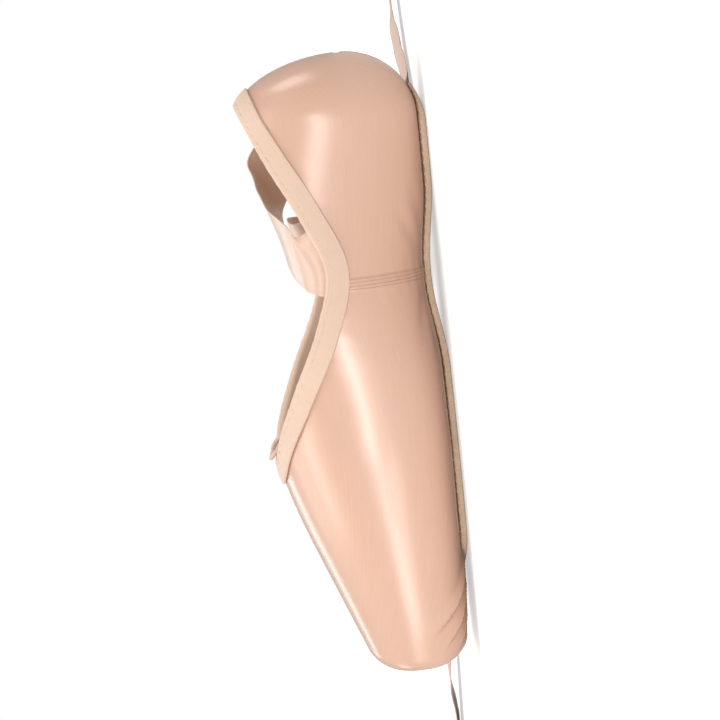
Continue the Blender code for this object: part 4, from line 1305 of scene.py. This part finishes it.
def make_binding():
    """The folded tape: a leg outside, a leg inside and a rounded fold, a little gathered by its cord."""
    edge, normals, down = collar_frames(BINDING_RINGS)
    arc = np.linspace(0.0, lengths_along(edge)[-1], BINDING_RINGS)
    to_throat = np.minimum(arc, arc[-1] - arc)
    gather_turns = 2 * np.pi * arc / BINDING_GATHER_PITCH
    gather_turns = gather_turns + 3.0 * np.sin(2 * np.pi * arc / BINDING_GATHER_SWAY)
    gather_depth = GATHER_EVERYWHERE + GATHER_AT_THROAT * np.exp(-to_throat / THROAT_GATHER_REACH)
    gather = gather_depth * np.sin(gather_turns)
    shell = BINDING_EASE + BINDING_THICKNESS
    lining = wall(edge[:, 0] + LENGTH / 2) + BINDING_EASE
    middle = (shell - lining - BINDING_THICKNESS) / 2
    spread = shell - middle

    def leg(distance, stand_off):
        points = walk_on_last(edge, down, distance)
        return points + outward(points) * np.broadcast_to(stand_off, len(points))[:, None]

    outside, inside = [], []
    for share in OUTER_LEG_SHARES:
        puff = LEG_PUFF * math.sin(math.pi * share) - (LEG_EDGE_TUCK if share == 1.0 else 0.0)
        sunk = STITCH_SINK * float(bump_at(share, LOW_STITCHES, LOW_SINK_WIDTH) +
                                   bump_at(share, HIGH_STITCHES, HIGH_SINK_WIDTH))
        outside.append(leg(BINDING_WIDTH * share, shell + puff - sunk + gather * (1.0 - 0.5 * share)))
    fold = []
    for angle in np.radians(FOLD_ANGLES):
        out = middle + spread * np.sign(math.cos(angle)) * abs(math.cos(angle)) ** FOLD_FULLNESS
        rise = FOLD_RISE * shell * math.sin(angle) + gather * math.sin(angle)
        fold.append(edge + normals * out[:, None] - down * rise[:, None])
    for share in INNER_LEG_SHARES:
        inside.append(leg(BINDING_LINING * share, -(lining + BINDING_THICKNESS) + gather * 0.5))
    under = [leg(BINDING_LINING * share, -lining) for share in (1.0, 0.5)]
    under += [edge - normals * lining[:, None] - down * BINDING_EASE,
              edge + normals * BINDING_EASE - down * BINDING_EASE]
    under += [leg(BINDING_WIDTH * share, BINDING_EASE) for share in (0.5, 1.0)]
    rings = np.stack(outside + fold + inside + under + [outside[0]], axis=1)
    girths = lengths_along(rings.mean(axis=0))
    marks = {"along": arc[:, None] + 0.0 * rings[:, :, 0], "across": girths[None, :] + 0.0 * rings[:, :, 0]}
    binding = rows_piece("binding_tape", rings, [TAPE], marks=marks)
    lay_pattern(binding, "along", "across")
    tidy_mesh(binding)
    bpy.ops.object.mode_set(mode="EDIT")
    bpy.ops.mesh.select_all(action="DESELECT")
    bpy.ops.mesh.select_non_manifold()
    bpy.ops.mesh.edge_face_add()
    bpy.ops.object.mode_set(mode="OBJECT")
    tidy_mesh(binding)
    smooth(binding, degrees=55)
    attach(binding, "root")
    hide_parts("binding")
    return edge, down


def make_stitch(length, thickness, material):
    """One stitch along +X, its ends going down into the cloth."""
    deselect_all()
    bpy.ops.mesh.primitive_cylinder_add(vertices=6, radius=thickness / 2, depth=length,
                                        end_fill_type="TRIFAN", rotation=(0.0, math.pi / 2, 0.0))
    stitch = bpy.context.object
    bpy.ops.object.transform_apply(location=True, rotation=True, scale=True)
    bpy.ops.object.mode_set(mode="EDIT")
    for cut in (length * STITCH_BEND, -length * STITCH_BEND):
        bpy.ops.mesh.select_all(action="SELECT")
        bpy.ops.mesh.bisect(plane_co=(cut, 0, 0), plane_no=(1, 0, 0))
    bpy.ops.object.mode_set(mode="OBJECT")
    for vertex in stitch.data.vertices:
        share = abs(vertex.co.x) / (length / 2)
        vertex.co.z -= thickness * STITCH_DIVE * max(share - 0.5, 0.0) * 2
    stitch.data.materials.append(material)
    return stitch


def sew(name, stitch, points, normals, pitch):
    """Copy a stitch along a line, each copy turned with the line and the cloth under it."""
    lengths = lengths_along(points)

    def read(values, at):
        return Vector([np.interp(at, lengths, column) for column in values.T])

    count = int(lengths[-1] / pitch)
    copies = []
    for i in range(count):
        at = (i + 0.5) * lengths[-1] / count
        place = read(points, at)
        up = read(normals, at).normalized()
        along = (read(points, at + pitch / 4) - read(points, at - pitch / 4)).normalized()
        side = up.cross(along).normalized()
        turned = Matrix((along, side, along.cross(side))).transposed().to_4x4()
        copy = bpy.data.objects.new("stitch", stitch.data.copy())
        bpy.context.scene.collection.objects.link(copy)
        copy.data.transform(Matrix.Translation(place) @ turned)
        copies.append(copy)
    thread = join(copies, name)
    smooth(thread, degrees=60)
    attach(thread, "root")


def sew_binding(edge, down):
    """Two rows of stitches on the binding's outer leg."""
    stitch = make_stitch(STITCH_LENGTH, STITCH_THICKNESS, PEACH_THREAD)
    shell = BINDING_EASE + BINDING_THICKNESS
    for name, share in (("binding_stitches_low", LOW_STITCHES), ("binding_stitches_high", HIGH_STITCHES)):
        line = walk_on_last(edge[2:-2], down[2:-2], BINDING_WIDTH * share)
        lifts = outward(line)
        sew(name, stitch, line + lifts * (shell + STITCH_LIFT), lifts, STITCH_PITCH)
    bpy.data.objects.remove(stitch)


def sew_sole():
    """The waxed thread that shows between the satin and the edge of the outsole."""
    stitch = make_stitch(SOLE_STITCH_LENGTH, SOLE_STITCH_THICKNESS, BROWN_THREAD)
    stations = sole_stations(OUTSOLE_BACK, OUTSOLE_TIP, OUTSOLE_HEEL_ROUND, OUTSOLE_TOE_ROUND, count=120)
    half = outsole_half(stations) + SOLE_STITCH_OUT
    top = outsole_top(stations) - SOLE_STITCH_BELOW
    near = np.stack([stations - LENGTH / 2, half, top], axis=1)
    loop = np.concatenate([near, near[::-1][1:] * (1, -1, 1)])
    loop = even_points(loop, 500)
    along = unit(np.gradient(loop, axis=0))
    outwards = unit(np.cross(along, (0.0, 0.0, 1.0)))
    outwards *= np.sign(np.sum(outwards * (loop * (1, 1, 0)), axis=1, keepdims=True).sum())
    sew("sole_thread", stitch, loop, outwards, SOLE_STITCH_PITCH)
    bpy.data.objects.remove(stitch)


# The ribbons

def sewn_rows(side, shares):
    """The sewn end: against the inside of the quarter, then past the binding and over its fold."""
    against_wall = float(wall(RIBBON_SEAT)) + RIBBON_EASE + RIBBON_THICKNESS / 2
    past_binding = against_wall + BINDING_EASE + BINDING_THICKNESS
    past_lining = BINDING_LINING + 2 * FIT_GAP
    past_fold = BINDING_EASE + BINDING_THICKNESS + RIBBON_FOLD
    seats = ((RIBBON_SEWN, against_wall), (RIBBON_SEWN / 2, against_wall),
             (past_lining + RIBBON_FOLD, against_wall), (past_lining, past_binding),
             (past_lining / 2, past_binding), (0.0, past_binding), (-past_fold, past_binding))
    stations = RIBBON_SEAT + shares * RIBBON_WIDTH
    edge = collar_points(stations, side)
    ahead = collar_points(stations + TINY, side)
    down = unit(np.cross(outward(edge), ahead - edge)) * side
    rows = []
    for depth, stand_off in seats:
        points = walk_on_last(edge, down, depth) if depth > 0.0 else edge + down * depth
        rows.append(points - outward(points if depth >= 0.0 else edge) * stand_off)
    return rows


def free_rows(start, route, count, shares):
    """Rows of the strip along its route, each as wide as the ribbon."""
    middle = start[len(start) // 2]
    slope = unit(start[0] - start[-1])
    first = (*middle, math.degrees(math.asin(slope[2])))
    places = smooth_route([first] + [tuple(p) for p in route], count)
    rows = []
    across = unit(start[-1] - start[0])
    for i in range(1, count):
        along = places[min(i + 1, count - 1), :3] - places[i - 1, :3]
        across = across - along * (across.dot(along) / along.dot(along))
        level_across = unit(across * (1, 1, 0))
        lean = math.radians(places[i, 3])
        across = level_across * math.cos(lean) - np.array((0.0, 0.0, math.sin(lean)))
        across = unit(across - along * (across.dot(along) / along.dot(along)))
        rows.append(places[i, :3] + across[None, :] * (shares[:, None] * RIBBON_WIDTH))
    return rows


RIBBON_COARSE = 30
RIBBON_FINE = 9
RIBBON_SHARES = (-0.5, -0.488, -0.46, -0.40, -0.32, -0.22, -0.11, 0.0,
                 0.11, 0.22, 0.32, 0.40, 0.46, 0.488, 0.5)
RIBBON_LOOSENS = (RIBBON_SEWN + 0.012, RIBBON_SEWN + 0.030)
CURL_DEPTH = 0.0009
CURL_LENGTH = 0.21
FRILL_DEPTH = 0.00016
FRILL_LENGTHS = (0.0173, 0.0291)
SELVEDGE_RISE = 0.00010
SELVEDGE_PLACE = 0.474
SELVEDGE_WIDTH = 0.018
SELVEDGE_LINE_PLACE = 0.447
SELVEDGE_LINE_WIDTH = 0.010
SELVEDGE_DARKNESS = 0.55
ABOVE_FLOOR = 0.0002


def make_ribbon(name, node, side, route):
    """Satin ribbon: woven edges, a soft curl across, and ripples where it lies."""
    coarse = np.linspace(-0.5, 0.5, 5)
    sewn = sewn_rows(side, coarse)
    rows = np.array(sewn + free_rows(sewn[-1], route, RIBBON_COARSE, coarse))
    lengths = lengths_along(rows[:, 2])
    count = len(rows) * RIBBON_FINE
    stops = np.linspace(0.0, lengths[-1], count)
    fine = np.array([[curve_through(lengths, rows[:, column, axis])(stops) for axis in range(3)]
                     for column in range(len(coarse))])
    shares = np.array(RIBBON_SHARES)
    points = np.array([[np.interp(shares, coarse, fine[:, axis, row]) for axis in range(3)]
                       for row in range(count)]).transpose(0, 2, 1)
    normals = unit(np.cross(np.gradient(points, axis=0), np.gradient(points, axis=1)))
    free = ease(stops, *RIBBON_LOOSENS)[:, None]
    edges = np.abs(shares)[None, :]
    curl = CURL_DEPTH * free * (edges * 2) ** 2 * np.sin(2 * np.pi * stops / CURL_LENGTH + side)[:, None]
    ripples = sum(np.sin(2 * np.pi * stops / length) for length in FRILL_LENGTHS)[:, None]
    frill = FRILL_DEPTH * free * (edges * 2) ** 3 * ripples
    selvedge = SELVEDGE_RISE * bump_at(edges, SELVEDGE_PLACE, SELVEDGE_WIDTH)
    dark_line = SELVEDGE_DARKNESS * bump_at(edges, SELVEDGE_LINE_PLACE, SELVEDGE_LINE_WIDTH)
    points = points + normals * (curl + frill + selvedge)[:, :, None]
    points[:, :, 2] = np.maximum(points[:, :, 2], RIBBON_CLOTH / 2 + ABOVE_FLOOR)
    marks = {"fold": np.broadcast_to(dark_line, points.shape[:2]),
             "along": stops[:, None] + 0.0 * points[:, :, 0],
             "across": shares[None, :] * RIBBON_WIDTH + 0.0 * points[:, :, 0]}
    ribbon = rows_piece(name, points, [RIBBON_SATIN], marks=marks)
    lay_pattern(ribbon, "along", "across")
    cloth = ribbon.modifiers.new("cloth", "SOLIDIFY")
    cloth.thickness = RIBBON_CLOTH
    cloth.offset = 0.0
    apply_modifiers(ribbon)
    smooth(ribbon, degrees=50)
    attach(ribbon, "root")
    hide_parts(node)


# The room

FLOOR_RADIUS = 2.6
FLOOR_BELOW = 0.0002
FLOOR_GREY = (0.70, 0.70, 0.70)
FLOOR_GLOW_REACH = (0.25, 1.10)
FLOOR_GLOW = (0.52, 0.88)
WORLD_GLOW = 0.35

# Soft boxes, each with its place, what it is aimed at, its size in metres, how bright its face is, and how
# many degrees it leans
Light = namedtuple("Light", "name place aim size glow lean")
LIGHTS = (
    Light("low strip", (0.55, 1.34, 0.16), (0.0, 0.0, 0.03), (1.5, 0.10), 10.5, 13.0),
    Light("heel window", (-0.24, 1.35, 0.34), (-0.06, 0.0, 0.03), (0.85, 0.20), 7.4, 16.0),
    Light("sky", (0.0, 0.0, 2.2), (0.0, 0.0, 0.0), (2.6, 2.6), 1.2, 0.0),
    Light("window above", (0.0, 0.25, 1.30), (0.0, 0.0, 0.04), (1.4, 0.35), 1.6, 0.0),
    Light("toe side", (1.45, -0.20, 0.55), (0.0, 0.0, 0.03), (0.6, 0.5), 2.5, 0.0),
    Light("heel side", (-1.45, -0.30, 0.60), (0.0, 0.0, 0.03), (0.5, 0.5), 3.0, 0.0),
    Light("strip behind", (0.3, -1.3, 0.9), (0.0, 0.0, 0.04), (1.2, 0.25), 3.0, 0.0),
    Light("toe card", (0.15, 0.22, 0.006), (0.09, 0.03, 0.012), (0.20, 0.05), 2.5, 0.0),
)


def make_floor():
    """A pale floor whose far side runs into the white of the room."""
    deselect_all()
    bpy.ops.mesh.primitive_circle_add(vertices=96, radius=FLOOR_RADIUS, fill_type="NGON",
                                      location=(0.0, 0.0, -FLOOR_BELOW))
    floor = bpy.context.object
    floor.name = "floor"
    material, tree, shader = new_material("pale floor", FLOOR_GREY)
    set_sockets(shader, {"Roughness": 0.9, "Specular IOR Level": 0.1, "Emission Color": (1.0, 1.0, 1.0, 1.0)})
    distance = tree.nodes.new("ShaderNodeVectorMath")
    distance.operation = "LENGTH"
    tree.links.new(place_node(tree, "Object"), distance.inputs[0])
    glow = remap(tree, distance.outputs["Value"], *FLOOR_GLOW_REACH, *FLOOR_GLOW)
    rays = tree.nodes.new("ShaderNodeLightPath")
    seen_glow = math_node(tree, "MULTIPLY", glow, rays.outputs["Is Camera Ray"])
    tree.links.new(seen_glow, shader.inputs["Emission Strength"])
    floor.data.materials.append(material)


def make_light(light):
    data = bpy.data.lights.new(light.name, "AREA")
    data.shape = "RECTANGLE"
    data.size, data.size_y = light.size
    data.energy = light.glow * math.pi * light.size[0] * light.size[1]
    lamp = bpy.data.objects.new(light.name, data)
    lamp.visible_camera = False
    lamp.location = light.place
    facing = (Vector(light.aim) - Vector(light.place)).to_track_quat("-Z", "Y").to_matrix()
    lamp.rotation_euler = (facing @ Matrix.Rotation(math.radians(light.lean), 3, "Z")).to_euler()
    bpy.context.scene.collection.objects.link(lamp)


def make_room_light():
    """A room that is white where it is seen and dimmer where it lights the shoe."""
    world = bpy.data.worlds.new("white room")
    bpy.context.scene.world = world
    world.use_nodes = True
    tree = world.node_tree
    background = tree.nodes["Background"]
    rays = tree.nodes.new("ShaderNodeLightPath")
    background.inputs["Color"].default_value = (1.0, 1.0, 1.0, 1.0)
    seen = math_node(tree, "MULTIPLY", rays.outputs["Is Camera Ray"], 1.0 - WORLD_GLOW)
    tree.links.new(math_node(tree, "ADD", seen, WORLD_GLOW), background.inputs["Strength"])


make_camera()
make_drawstring()
make_upper()
make_outsole()
make_sock()
sew_binding(*make_binding())
sew_sole()
make_ribbon("ribbon_of_near_side", "ribbon_near", 1.0, RIBBON_NEAR_ROUTE)
make_ribbon("ribbon_of_far_side", "ribbon_far", -1.0, RIBBON_FAR_ROUTE)
make_floor()
make_room_light()
for light in LIGHTS:
    make_light(light)
bpy.context.scene.view_settings.view_transform = "Standard"
